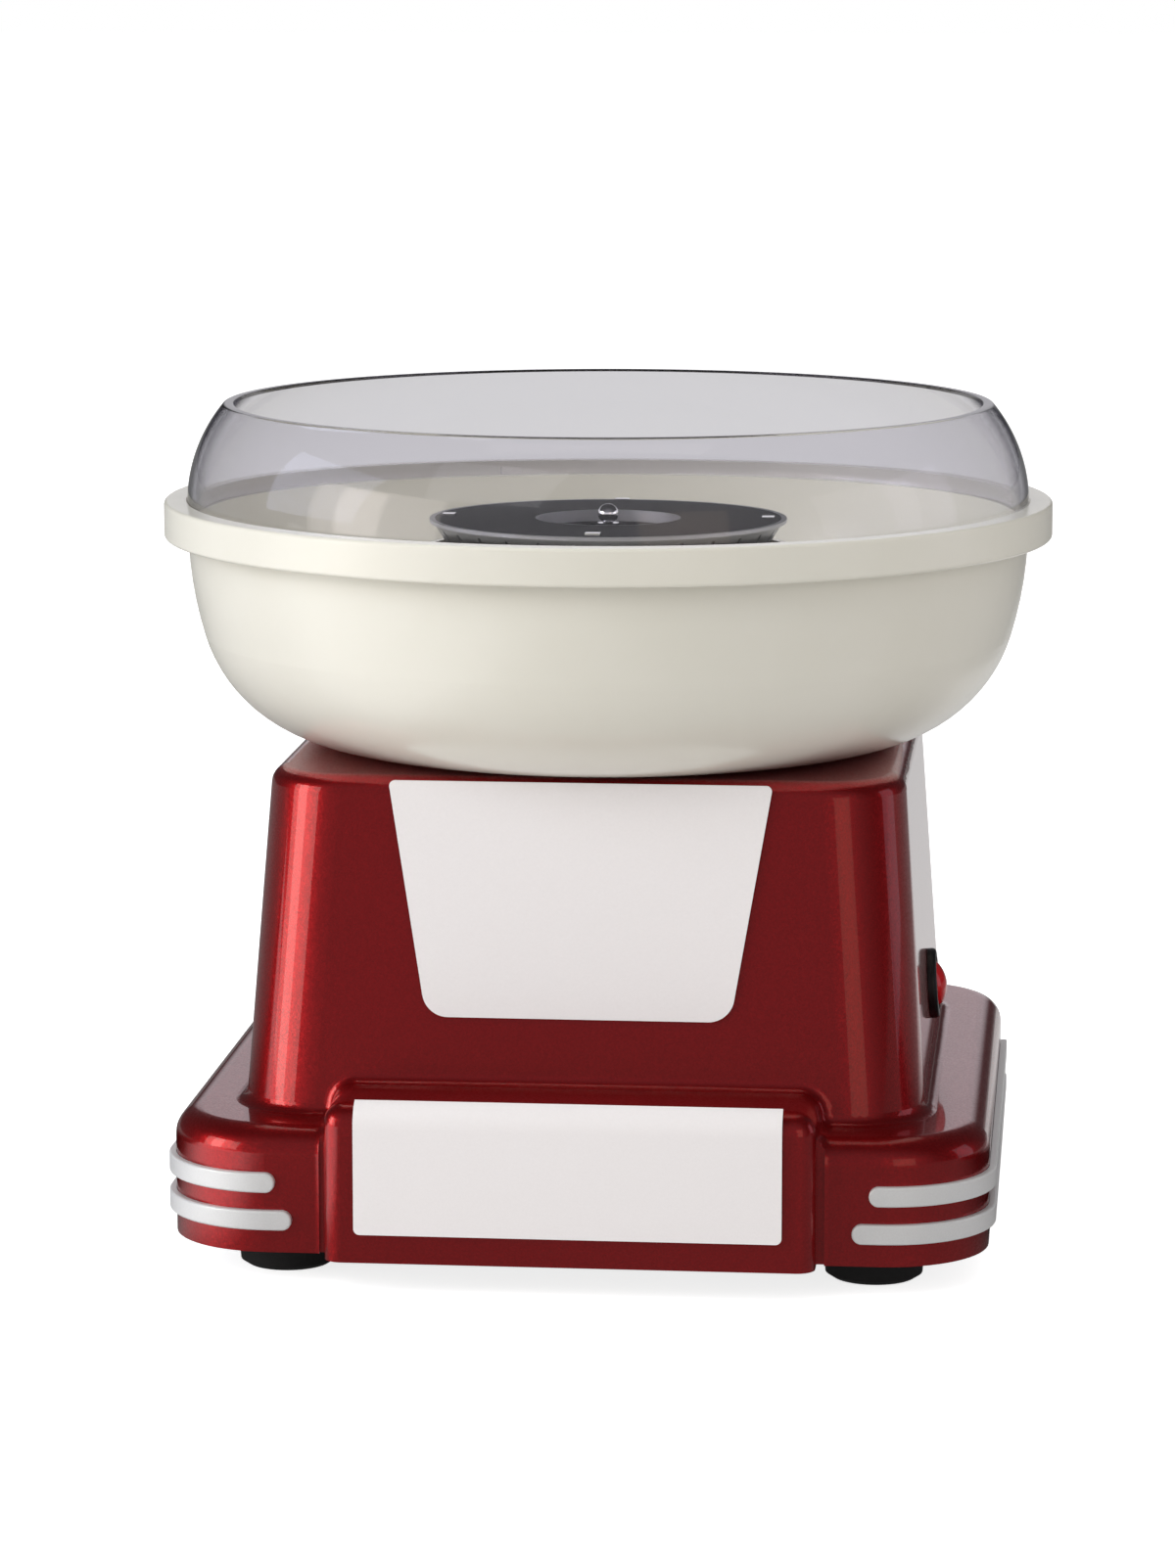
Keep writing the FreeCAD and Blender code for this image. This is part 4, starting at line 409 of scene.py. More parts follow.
# %% Starting a finish
def new_finish(name, hex_code, roughness, **sockets):
    """A material for one real finish; returns its tree, its shader and its Object coordinates."""
    material = bpy.data.materials.new(name)
    material.use_nodes = True
    tree = material.node_tree
    shader = tree.nodes["Principled BSDF"]
    shader.inputs["Base Color"].default_value = colour(hex_code)
    shader.inputs["Roughness"].default_value = roughness
    for socket, value in sockets.items():
        shader.inputs[socket.replace("_", " ")].default_value = value
    return tree, shader, add(tree, "ShaderNodeTexCoord")


def dress(material_name, *nodes):
    """Gives the named solids one finish."""
    for name in nodes:
        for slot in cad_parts[name].material_slots:
            slot.material = bpy.data.materials[material_name]
    print(material_name, "on", ", ".join(nodes))


print("finishes can be started")

# %% [markdown]
# No real surface is the same all over. One pattern moves the colour between two tones, the
# roughness between two values and the height by a real depth, so that all three belong together.


# %% Letting a surface vary
def vary(tree, shader, pattern, tones, gloss, depth_mm):
    """Lets one pattern drive a shader's colour, roughness and height; returns the colour."""
    first, second = tones
    smooth_end, rough_end = gloss
    tone = add(
        tree,
        "ShaderNodeMix",
        {6: colour(first), 7: colour(second)},
        {0: (pattern, "Fac")},
        data_type="RGBA",
    )
    shine = add(
        tree,
        "ShaderNodeMapRange",
        {"To Min": smooth_end, "To Max": rough_end},
        {"Value": (pattern, "Fac")},
    )
    relief = add(
        tree,
        "ShaderNodeBump",
        {"Strength": 1.0, "Distance": depth_mm * MM},
        {"Height": (pattern, "Fac")},
    )
    tree.links.new(tone.outputs[2], shader.inputs["Base Color"])
    tree.links.new(shine.outputs["Result"], shader.inputs["Roughness"])
    tree.links.new(relief.outputs["Normal"], shader.inputs["Normal"])
    return tone


def uneven(finish, cell_mm, tones, gloss, depth_mm, stretch=(1.0, 1.0, 1.0)):
    """Lets a surface wander over soft cells of a real size; returns the colour."""
    tree, shader, place = finish
    fitted = add(tree, "ShaderNodeMapping", {"Scale": stretch}, {"Vector": (place, "Object")})
    cloud = add(
        tree,
        "ShaderNodeTexNoise",
        {"Scale": MM_PER_M / cell_mm, "Detail": 3.0, "Roughness": 0.55},
        {"Vector": (fitted, "Vector")},
    )
    return vary(tree, shader, cloud, tones, gloss, depth_mm)


print("surfaces can vary")

# %% [markdown]
# ### Candy lacquer
# The housing is moulded ABS, sprayed silver, then with a clear red, then with clear lacquer. The
# eye gets a deep metallic red with fine flakes under a hard, smooth gloss. A glossy red alone
# would pass for plastic, so a mostly metallic base gives the depth, and the shader's coat is the
# clear lacquer.
# A Voronoi pattern tips each flake a little and gives it one of the reds. Real flakes are
# 0.05 mm; they are drawn about ten times as coarse to show at all.

# %% Flakes of the candy lacquer
FLAKE_MM = 0.55
FLAKE_TIP = 0.10

tree, shader, place = new_finish(
    "candy_lacquer_sprayed_on_abs",
    "#B2171C",
    0.36,
    Metallic=0.9,
    Coat_Weight=1.0,
    Coat_Roughness=0.05,
)
flakes = add(
    tree,
    "ShaderNodeTexVoronoi",
    {"Scale": MM_PER_M / FLAKE_MM},
    {"Vector": (place, "Object")},
)
about_zero = add(
    tree,
    "ShaderNodeVectorMath",
    {1: (-0.5, -0.5, -0.5)},
    {0: (flakes, "Color")},
    operation="ADD",
)
tip = add(
    tree, "ShaderNodeVectorMath", {"Scale": FLAKE_TIP}, {0: (about_zero, 0)}, operation="SCALE"
)
surface = add(tree, "ShaderNodeNewGeometry")
leaning = add(
    tree, "ShaderNodeVectorMath", links={0: (surface, "Normal"), 1: (tip, 0)}, operation="ADD"
)
flake_normal = add(tree, "ShaderNodeVectorMath", links={0: (leaning, 0)}, operation="NORMALIZE")
tree.links.new(flake_normal.outputs[0], shader.inputs["Normal"])
red = add(
    tree,
    "ShaderNodeMix",
    {6: colour("#A81419"), 7: colour("#BC1A1F")},
    {0: (flakes, "Color")},
    data_type="RGBA",
)
tree.links.new(red.outputs[2], shader.inputs["Base Color"])
print("flakes drawn at", FLAKE_MM, "mm")

# %% [markdown]
# The spray gun leaves the base a little smoother here and rougher there, over a few centimetres.
# The clear lacquer dries with orange peel: shallow waves, 6 mm across, in the coat alone. So one
# noise drives the base's roughness, and another tilts the coat and leaves the base as it is.

# %% Spray and orange peel
DRIFT_MM, PEEL_MM, PEEL_DEPTH_MM = 45.0, 6.0, 0.02

drift = add(
    tree,
    "ShaderNodeTexNoise",
    {"Scale": MM_PER_M / DRIFT_MM, "Detail": 2.0},
    {"Vector": (place, "Object")},
)
base_gloss = add(
    tree, "ShaderNodeMapRange", {"To Min": 0.33, "To Max": 0.39}, {"Value": (drift, "Fac")}
)
tree.links.new(base_gloss.outputs["Result"], shader.inputs["Roughness"])
peel = add(
    tree,
    "ShaderNodeTexNoise",
    {"Scale": MM_PER_M / PEEL_MM, "Detail": 1.0},
    {"Vector": (place, "Object")},
)
orange_peel = add(
    tree,
    "ShaderNodeBump",
    {"Strength": 0.25, "Distance": PEEL_DEPTH_MM * MM},
    {"Height": (peel, "Fac")},
)
tree.links.new(orange_peel.outputs["Normal"], shader.inputs["Coat Normal"])
dress("candy_lacquer_sprayed_on_abs", "housing")

# %% [markdown]
# ### Glossy cream plastic
# The bowl is blow moulded and trimmed, and takes its gloss from the polished mould: a warm cream
# with a soft shine and very slow waves in its surface.

# %% Cream bowl
finish = new_finish("cream_abs_blow_moulded", "#E5E3D7", 0.2, Coat_Weight=0.3, Coat_Roughness=0.2)
uneven(finish, cell_mm=38.0, tones=("#E2E0D3", "#E8E6DB"), gloss=(0.2, 0.3), depth_mm=0.02)
dress("cream_abs_blow_moulded", "bowl")

# %% [markdown]
# ### White panels
# The two inserts are injection moulded and have a satin skin: an off-white with a hint of grain.
# The grain is finer than a millimetre, so it shows only as a softer gloss.

# %% White panels
finish = new_finish("white_abs_satin_moulded", "#F3F0F0", 0.38)
panel_tone = uneven(
    finish, cell_mm=0.8, tones=("#EFECEC", "#F6F3F3"), gloss=(0.34, 0.44), depth_mm=0.006
)
dress("white_abs_satin_moulded", "front_panel", "nameplate", "terminal_block")

# %% [markdown]
# Each insert sits in a pocket with a hair of a gap, and the gap swallows the light. It is finer
# than the lens can draw, but the insert's own edges line it and show, so the gap's shade is
# painted onto them as a dark colour. The surface's direction tells the edges, which face sideways
# or down, from the front: both limits are parts of a normal of length one.

# %% Painted gap shade round the white panels
GAP_STARTS, GAP_FULL = 0.35, 0.6

tree, shader = finish[:2]
facing = add(tree, "ShaderNodeNewGeometry")
facing_parts = add(tree, "ShaderNodeSeparateXYZ", links={"Vector": (facing, "Normal")})
sideways = add(tree, "ShaderNodeMath", links={0: (facing_parts, "X")}, operation="ABSOLUTE")
down = add(tree, "ShaderNodeMath", {1: -1.0}, {0: (facing_parts, "Z")}, operation="MULTIPLY")
edge_facing = add(
    tree, "ShaderNodeMath", links={0: (sideways, 0), 1: (down, 0)}, operation="MAXIMUM"
)
painted_gap_shade = add(
    tree,
    "ShaderNodeMapRange",
    {"From Min": GAP_STARTS, "From Max": GAP_FULL},
    {"Value": (edge_facing, 0)},
)
# Painted shade: the sideways and downward edges take a near-black colour for the gap's shadow.
panel_tone_with_painted_shade = add(
    tree,
    "ShaderNodeMix",
    {7: colour("#2A2022")},
    {0: (painted_gap_shade, "Result"), 6: (panel_tone, 2)},
    data_type="RGBA",
)
tree.links.new(panel_tone_with_painted_shade.outputs[2], shader.inputs["Base Color"])
print("panel edges are darkened")

# %% [markdown]
# ### Clear splash guard
# Injection moulded clear styrene. Seen square on it hardly shows. Towards its outline it mirrors
# the dark cloth at the sides, and that dark is painted into its colour as a painted reflection, a
# tint that follows the angle of view. A faint, slightly rough coat keeps the lamps' images in it
# soft, and its index is lower than styrene's real 1.59, because the images inside the wall come
# out too hard with that.

# %% Tint and painted reflection of the clear guard
OUTLINE_STARTS, OUTLINE_FULL = 0.75, 0.89

tree, shader = new_finish(
    "clear_styrene_moulded",
    "#FAF9FC",
    0.02,
    IOR=1.38,
    Transmission_Weight=1.0,
    Specular_IOR_Level=0.05,
    Coat_Weight=0.2,
    Coat_Roughness=0.2,
)[:2]
# Painted reflection: the colour darkens towards the outline with the angle of view, in place of
# the mirrored dark cloth.
glancing = add(tree, "ShaderNodeLayerWeight", {"Blend": 0.5})
outline = add(
    tree,
    "ShaderNodeMapRange",
    {"From Min": OUTLINE_STARTS, "From Max": OUTLINE_FULL},
    {"Value": (glancing, "Facing")},
    interpolation_type="SMOOTHSTEP",
)
clear_tint_with_painted_reflection = add(
    tree,
    "ShaderNodeMix",
    {6: colour("#FCFBFD"), 7: colour("#24222C")},
    {0: (outline, "Result")},
    data_type="RGBA",
)
tree.links.new(clear_tint_with_painted_reflection.outputs[2], shader.inputs["Base Color"])
print("clear_styrene_moulded is dark along its outline")

# %% [markdown]
# Along the wall the light has a long way to go and comes out a dusky violet grey, which a
# constant absorption in the volume gives by itself. Shadow rays, and the rays by which matt
# surfaces gather light, go straight through, as nearly all light does in a thin wall. Without
# that the bowl inside would be dark and speckled.

# %% Light through the clear guard
STYRENE_DENSITY = 60.0

guard_rays = add(tree, "ShaderNodeLightPath")
passing = add(
    tree,
    "ShaderNodeMath",
    links={0: (guard_rays, "Is Shadow Ray"), 1: (guard_rays, "Is Diffuse Ray")},
    operation="MAXIMUM",
)
straight = add(tree, "ShaderNodeBsdfTransparent", {"Color": colour("#FCFCFD")})
clear = add(
    tree, "ShaderNodeMixShader", links={0: (passing, 0), 1: (shader, 0), 2: (straight, 0)}
)
depth_tint = add(
    tree, "ShaderNodeVolumeAbsorption", {"Color": colour("#9A96AE"), "Density": STYRENE_DENSITY}
)
output = tree.nodes["Material Output"]
tree.links.new(clear.outputs[0], output.inputs["Surface"])
tree.links.new(depth_tint.outputs["Volume"], output.inputs["Volume"])
print("clear_styrene_moulded is ready for the guard, made below")

# %% [markdown]
# ### The switch
# A round rocker in glossy red, in a black bezel. The bezel, the cord gland and the bottom cover
# are glass-filled nylon: black, even and a little rough from the mould's spark-eroded skin.

# %% Red rocker and black nylon
finish = new_finish(
    "red_polycarbonate_moulded", "#B4141A", 0.12, Coat_Weight=0.5, Coat_Roughness=0.04
)
uneven(finish, cell_mm=5.0, tones=("#AC1219", "#BC171C"), gloss=(0.1, 0.16), depth_mm=0.004)
dress("red_polycarbonate_moulded", "switch_rocker")
finish = new_finish("black_nylon_moulded", "#141416", 0.38)
uneven(finish, cell_mm=0.7, tones=("#111113", "#1A1A1C"), gloss=(0.32, 0.46), depth_mm=0.01)
dress("black_nylon_moulded", "switch_housing", "cord_gland", "bottom_cover")

# %% [markdown]
# ### Rubber feet
# Moulded rubber is nearly black, quite matt and slightly dusty, with a pitted skin. Its pits are
# the deepest relief of all the finishes here.

# %% Rubber
FEET = ["foot_front_left", "foot_front_right", "foot_rear_left", "foot_rear_right"]

finish = new_finish("black_rubber_moulded", "#19191A", 0.75)
uneven(finish, cell_mm=0.6, tones=("#141415", "#232324"), gloss=(0.68, 0.86), depth_mm=0.03)
dress("black_rubber_moulded", *FEET)

# %% [markdown]
# ### Satin silver strips
# The four trim strips are moulded and sprayed with satin silver paint. Silver paint is fine
# aluminium flake in a clear binder, so it is partly metallic and partly matt, which is why it
# stays light where a bare metal strip would mirror the dark cloth.

# %% Satin strips
STRIPS = ["trim_left_upper", "trim_left_lower", "trim_right_upper", "trim_right_lower"]

finish = new_finish("satin_silver_paint_on_abs", "#E2E3E3", 0.36, Metallic=0.3)
uneven(finish, cell_mm=0.5, tones=("#DADBDB", "#E8E9E9"), gloss=(0.32, 0.42), depth_mm=0.006)
dress("satin_silver_paint_on_abs", *STRIPS)

# %% [markdown]
# ### Turned metal
# The spinning head is turned on a lathe and keeps fine rings round its axis, and so do the
# heater's round housing and pan. The distance from the axis drives a one-dimensional noise,
# which draws such rings.


# %% Turned rings
def turned(finish, ring_mm, tones, gloss, depth_mm):
    """Fine lathe rings round the upright axis; returns the distance from it and the colour."""
    tree, shader, place = finish
    flat = add(
        tree,
        "ShaderNodeVectorMath",
        {1: (1.0, 1.0, 0.0)},
        {0: (place, "Object")},
        operation="MULTIPLY",
    )
    reach = add(tree, "ShaderNodeVectorMath", links={0: (flat, 0)}, operation="LENGTH")
    rings = add(
        tree,
        "ShaderNodeTexNoise",
        {"Scale": MM_PER_M / ring_mm, "Detail": 2.0},
        {"W": (reach, "Value")},
        noise_dimensions="1D",
    )
    return reach, vary(tree, shader, rings, tones, gloss, depth_mm)


finish = new_finish("aluminium_turned_bright", "#A9AAAD", 0.3, Metallic=1.0)
turned(finish, ring_mm=0.8, tones=("#9C9DA0", "#B9BABD"), gloss=(0.24, 0.38), depth_mm=0.006)
dress("aluminium_turned_bright", "head_hub", "head_dish", "head_band")
dress("aluminium_turned_bright", "heater_housing", "reflector_pan")

# %% [markdown]
# The head's top plate is turned too, then sprayed with a dark non-stick coat. Two rings of it
# stay bare metal: the plate's outer edge, and a thin line round the sunk centre. The distance
# from the axis, which drew the turned rings, tells these two as well.

# %% Coated top plate
BARE_EDGE_MM = 58.7
WELL_EDGE_MM, WELL_LINE_MM = 24.3, 0.35

finish = new_finish("non_stick_coat_on_turned_aluminium", "#232325", 0.55, Specular_IOR_Level=0.1)
reach, coat_tone = turned(
    finish, ring_mm=0.9, tones=("#1C1C1E", "#28282A"), gloss=(0.5, 0.65), depth_mm=0.004
)
tree, shader = finish[:2]
outer_edge = add(
    tree,
    "ShaderNodeMath",
    {1: BARE_EDGE_MM * MM},
    {0: (reach, "Value")},
    operation="GREATER_THAN",
)
well_edge = add(
    tree,
    "ShaderNodeMath",
    {1: WELL_EDGE_MM * MM, 2: WELL_LINE_MM * MM},
    {0: (reach, "Value")},
    operation="COMPARE",
)
bare = add(
    tree, "ShaderNodeMath", links={0: (outer_edge, 0), 1: (well_edge, 0)}, operation="MAXIMUM"
)
coat_or_metal = add(
    tree,
    "ShaderNodeMix",
    {7: colour("#C4C5C8")},
    {0: (bare, 0), 6: (coat_tone, 2)},
    data_type="RGBA",
)
tree.links.new(coat_or_metal.outputs[2], shader.inputs["Base Color"])
tree.links.new(bare.outputs[0], shader.inputs["Metallic"])
dress("non_stick_coat_on_turned_aluminium", "head_top_plate")

# %% [markdown]
# ### Plated metal
# The knob is polished and chromed, and mirrors nearly all. The clips at the head's edge are
# nickel plated and stay bright. Zinc plating on the screws and the motor's can is duller and a
# little cloudy.

# %% Chrome, nickel and zinc
finish = new_finish("chrome_plated_polished", "#E6E6E9", 0.06, Metallic=1.0)
uneven(finish, cell_mm=3.0, tones=("#DFDFE2", "#EDEDEF"), gloss=(0.05, 0.09), depth_mm=0.001)
dress("chrome_plated_polished", "head_knob")
finish = new_finish("steel_nickel_plated_bright", "#EDEDEC", 0.14, Metallic=1.0)
uneven(finish, cell_mm=1.2, tones=("#E6E6E5", "#F4F4F3"), gloss=(0.11, 0.18), depth_mm=0.001)
dress("steel_nickel_plated_bright", "head_clips")
finish = new_finish("steel_zinc_plated", "#A5A6A9", 0.32, Metallic=1.0)
uneven(finish, cell_mm=1.5, tones=("#999A9D", "#B1B2B5"), gloss=(0.26, 0.4), depth_mm=0.004)
dress("steel_zinc_plated", "heater_housing_screws", "motor_screws", "heater_clips")
dress("steel_zinc_plated", "motor_can", "drive_pin")

# %% [markdown]
# ### Bare metal
# The shaft is ground, which leaves fine lines along it, so its pattern is stretched upwards. The
# bronze is pressed from powder and keeps a grain, and the brass is dipped in tin.

# %% Ground steel, bronze and brass
finish = new_finish("steel_ground", "#B8B9BC", 0.22, Metallic=1.0)
uneven(
    finish,
    cell_mm=0.3,
    tones=("#AEAFB2", "#C2C3C6"),
    gloss=(0.18, 0.3),
    depth_mm=0.002,
    stretch=(1.0, 1.0, 0.05),
)
dress("steel_ground", "motor_shaft", "motor_rotor", "heating_element")
finish = new_finish("bronze_sintered", "#A8763E", 0.42, Metallic=1.0)
uneven(finish, cell_mm=0.5, tones=("#996933", "#B5834A"), gloss=(0.36, 0.52), depth_mm=0.01)
dress("bronze_sintered", "motor_bearings", "motor_commutator")
finish = new_finish("brass_tinned", "#C9B483", 0.28, Metallic=1.0)
uneven(finish, cell_mm=1.2, tones=("#BEA873", "#D2C095"), gloss=(0.22, 0.36), depth_mm=0.002)
dress("brass_tinned", "switch_terminals", "motor_terminals")

# %% [markdown]
# ### The other parts inside
# They show only when the head or the cover is off. The magnets and the bushes are fired and keep
# a dry, grainy skin, the board is glass cloth in resin, and small electric parts are moulded
# round with dark epoxy.

# %% Ceramics, board and epoxy
finish = new_finish("ferrite_pressed", "#2A2A2D", 0.62)
uneven(finish, cell_mm=0.5, tones=("#232326", "#343437"), gloss=(0.56, 0.7), depth_mm=0.02)
dress("ferrite_pressed", "motor_magnets")
finish = new_finish("steatite_fired", "#E9E4D8", 0.5)
uneven(finish, cell_mm=0.9, tones=("#E2DCCE", "#EFEBE1"), gloss=(0.44, 0.6), depth_mm=0.015)
dress("steatite_fired", "heater_bushes")
finish = new_finish("fibreglass_board", "#2F5A34", 0.36)
uneven(finish, cell_mm=0.9, tones=("#2A5230", "#37653B"), gloss=(0.3, 0.44), depth_mm=0.006)
dress("fibreglass_board", "rectifier_board")
finish = new_finish("epoxy_moulded", "#1B1B1D", 0.5)
uneven(finish, cell_mm=0.5, tones=("#171719", "#242426"), gloss=(0.44, 0.58), depth_mm=0.008)
dress("epoxy_moulded", "bridge_rectifier", "capacitor", "motor_end_bell", "thermal_cutout")

# %% [markdown]
# ## Shapes grown by rule
# The splash guard and the screws that show from below follow simple rules, so Geometry Nodes grow
# them. A group takes a small mesh, here a profile or a few points, and named inputs.


# %% Groups and their small meshes
def new_group(name, *inputs):
    """An empty Geometry Nodes group with named inputs; returns it with its input node."""
    made = bpy.data.node_groups.new(name, "GeometryNodeTree")
    for label, kind in (("Geometry", "Geometry"), *inputs):
        made.interface.new_socket(label, in_out="INPUT", socket_type=f"NodeSocket{kind}")
    made.interface.new_socket("Geometry", in_out="OUTPUT", socket_type="NodeSocketGeometry")
    return made, add(made, "NodeGroupInput")


def finish_group(group, given, source):
    """Ends a group: instances become real faces, and the faces get the given material."""
    real = add(group, "GeometryNodeRealizeInstances", links={"Geometry": (source, 0)})
    dressed = add(
        group,
        "GeometryNodeSetMaterial",
        links={"Geometry": (real, 0), "Material": (given, "Material")},
    )
    add(group, "NodeGroupOutput", links={"Geometry": (dressed, 0)})
    print(group.name, "group has", len(group.nodes), "nodes")


def mesh_in_mm(name, points_mm, edges=(), faces=()):
    """A mesh from points given in millimetres."""
    made = bpy.data.meshes.new(name)
    made.from_pydata([tuple(c * MM for c in point) for point in points_mm], edges, faces)
    return made


def chain(count):
    """Edges that join points one to the next."""
    return [(i, i + 1) for i in range(count - 1)]


print("groups can be started")

# %% [markdown]
# A group runs on an object as a modifier, whose inputs are set by their identifiers. The result
# is baked to a plain mesh, so nothing is left that could change later.

# %% Growing and baking
SHARP_ANGLE = math.radians(35)


def grow(name, mesh, group, **inputs):
    """Runs a group on a mesh and bakes what comes out as a plain object."""
    seedling = bpy.data.objects.new(name + "_seedling", mesh)
    bpy.context.scene.collection.objects.link(seedling)
    modifier = seedling.modifiers.new("grow", "NODES")
    modifier.node_group = group
    for item in group.interface.items_tree:
        if item.in_out == "INPUT" and item.name in inputs:
            modifier[item.identifier] = inputs[item.name]
    bpy.context.view_layer.update()
    grown = seedling.evaluated_get(bpy.context.evaluated_depsgraph_get())
    baked = bpy.data.objects.new(name, bpy.data.meshes.new_from_object(grown))
    bpy.data.objects.remove(seedling)
    baked.data.set_sharp_from_angle(angle=SHARP_ANGLE)
    bpy.context.scene.collection.objects.link(baked)
    print(name, "has", len(baked.data.polygons), "faces")
    return baked


print("ready to grow shapes")

# %% [markdown]
# ### A lathe
# A lathe turns a profile round the upright axis. The group lays out a grid with one row of points
# for each point of the profile. A grid point's number then says which row it is in, and so which
# profile point it follows, and which column, and so how far round it stands.

# %% Rows and columns of the lathe
lathe, given = new_group("lathe", ("Segments", "Int"), ("Material", "Material"))
size = add(lathe, "GeometryNodeAttributeDomainSize", links={"Geometry": (given, "Geometry")})
columns = add(lathe, "ShaderNodeMath", {1: 1.0}, {0: (given, "Segments")}, operation="ADD")
grid = add(
    lathe,
    "GeometryNodeMeshGrid",
    links={"Vertices X": (size, "Point Count"), "Vertices Y": (columns, 0)},
)
index = add(lathe, "GeometryNodeInputIndex")
share = add(lathe, "ShaderNodeMath", links={0: (index, 0), 1: (columns, 0)}, operation="DIVIDE")
row = add(lathe, "ShaderNodeMath", links={0: (share, 0)}, operation="FLOOR")
column = add(lathe, "ShaderNodeMath", links={0: (index, 0), 1: (columns, 0)}, operation="MODULO")
part_turn = add(
    lathe, "ShaderNodeMath", links={0: (column, 0), 1: (given, "Segments")}, operation="DIVIDE"
)
angle = add(lathe, "ShaderNodeMath", {1: 2 * math.pi}, {0: (part_turn, 0)}, operation="MULTIPLY")
print("a grid row follows one profile point")

# %% [markdown]
# Each grid point then takes its profile point's place, turned by its angle. The seam and the
# poles are merged shut. Profiles run down the outside, so that the faces look outwards. A Screw
# modifier could turn a profile too; this group serves the guard and the screws alike, and closes
# and dresses what it turns.

# %% The turned surface
SEAM_MM = 0.002

where = add(lathe, "GeometryNodeInputPosition")
profile_point = add(
    lathe,
    "GeometryNodeSampleIndex",
    links={"Geometry": (given, "Geometry"), "Value": (where, 0), "Index": (row, 0)},
    data_type="FLOAT_VECTOR",
)
turned_point = add(
    lathe,
    "ShaderNodeVectorRotate",
    links={"Vector": (profile_point, "Value"), "Angle": (angle, 0)},
    rotation_type="Z_AXIS",
)
placed = add(
    lathe,
    "GeometryNodeSetPosition",
    links={"Geometry": (grid, "Mesh"), "Position": (turned_point, 0)},
)
closed = add(
    lathe, "GeometryNodeMergeByDistance", {"Distance": SEAM_MM * MM}, {"Geometry": (placed, 0)}
)
smooth = add(lathe, "GeometryNodeSetShadeSmooth", links={"Geometry": (closed, 0)})
finish_group(lathe, given, smooth)

# %% [markdown]
# ### The splash guard
# The guard is one injection moulded ring. Its wall stands upright at the foot, then bends inwards
# on a single arc, and the mould leaves its edges slightly round. The profile is drawn as two
# arcs, one for each face of the wall, joined by rounded corners.

# %% Guard profile
GUARD_OUT, GUARD_IN = 142.2, 139.6
GUARD_FOOT, GUARD_BEND, GUARD_TOP = 237.7, 241.7, 275.7
BEND_CENTRE = 90.34
CORNER_MM = 0.8


def wall(reach_mm, steps=36):
    """One face of the guard's wall, from its lip down to its foot."""
    bend = reach_mm - BEND_CENTRE
    lip = math.asin((GUARD_TOP - GUARD_BEND) / bend)
    turns = [lip * (1 - i / steps) for i in range(steps + 1)]
    arc = [(BEND_CENTRE + bend * math.cos(t), 0, GUARD_BEND + bend * math.sin(t)) for t in turns]
    return [Vector(point) for point in (*arc, (reach_mm, 0, GUARD_FOOT))]


def rounded(before, corner, after, steps=5):
    """A corner as a short curve that stays inside it."""
    start = corner + (before - corner).normalized() * CORNER_MM
    end = corner + (after - corner).normalized() * CORNER_MM
    shares = [i / steps for i in range(steps + 1)]
    return [start * (1 - t) ** 2 + corner * 2 * t * (1 - t) + end * t**2 for t in shares]


outside, inside = wall(GUARD_OUT), wall(GUARD_IN)[::-1]
profile = [
    *rounded(inside[-1], outside[0], outside[1]),
    *outside[2:-1],
    *rounded(outside[-2], outside[-1], inside[0]),
    *rounded(outside[-1], inside[0], inside[1]),
    *inside[1:-2],
    *rounded(inside[-2], inside[-1], outside[0]),
]
profile.append(profile[0])
print("guard profile has", len(profile), "points")

# %% [markdown]
# ### Lugs on the guard
# Three small lugs on the inside of the foot hold the guard in the bowl. One is modelled, as a
# box with its edges taken off and its back sunk a little into the wall.

# %% One lug
LUG_WIDE, LUG_HIGH, LUG_THICK, LUG_SUNK = 8.0, 3.0, 1.2, 0.4
LUG_LOW = 238.0
LUG_EDGE = 0.3


def lug_mesh():
    """One lug of the guard, where it stands on the X axis."""
    made = bpy.data.meshes.new("guard_lug")
    work = bmesh.new()
    bmesh.ops.create_cube(work, size=1.0)
    deep = LUG_THICK + LUG_SUNK
    for corner in work.verts:
        x = GUARD_IN - LUG_THICK + deep * (corner.co.x + 0.5)
        z = LUG_LOW + LUG_HIGH * (corner.co.z + 0.5)
        corner.co = Vector((x, LUG_WIDE * corner.co.y, z)) * MM
    bmesh.ops.bevel(
        work, geom=work.edges, offset=LUG_EDGE * MM, segments=3, profile=0.5, affect="EDGES"
    )
    work.to_mesh(made)
    work.free()
    return made


lug = bpy.data.objects.new("guard_lug", lug_mesh())
print("a lug is", LUG_WIDE, "mm wide and", LUG_HIGH, "mm high")

# %% [markdown]
# A second group sets the lug out round the axis and joins the lugs to the turned wall. They
# could be placed by hand, but the group keeps them equal steps apart whatever their number. Its
# points lie in the axis, because the lug's mesh already holds its reach.

# %% Lugs set out on the wall
lugs, given = new_group(
    "lugs_on_wall",
    ("Lug", "Object"),
    ("Count", "Int"),
    ("First", "Float"),
    ("Material", "Material"),
)
ring = add(lugs, "GeometryNodeMeshCircle", {"Radius": 0.0}, {"Vertices": (given, "Count")})
lug_shape = add(lugs, "GeometryNodeObjectInfo", links={"Object": (given, "Lug")})
number = add(lugs, "GeometryNodeInputIndex")
step = add(lugs, "ShaderNodeMath", {0: 2 * math.pi}, {1: (given, "Count")}, operation="DIVIDE")
lug_angle = add(
    lugs,
    "ShaderNodeMath",
    links={0: (number, 0), 1: (step, 0), 2: (given, "First")},
    operation="MULTIPLY_ADD",
)
heading = add(lugs, "ShaderNodeCombineXYZ", links={"Z": (lug_angle, 0)})
spread = add(
    lugs,
    "GeometryNodeInstanceOnPoints",
    links={"Points": (ring, 0), "Instance": (lug_shape, "Geometry"), "Rotation": (heading, 0)},
)
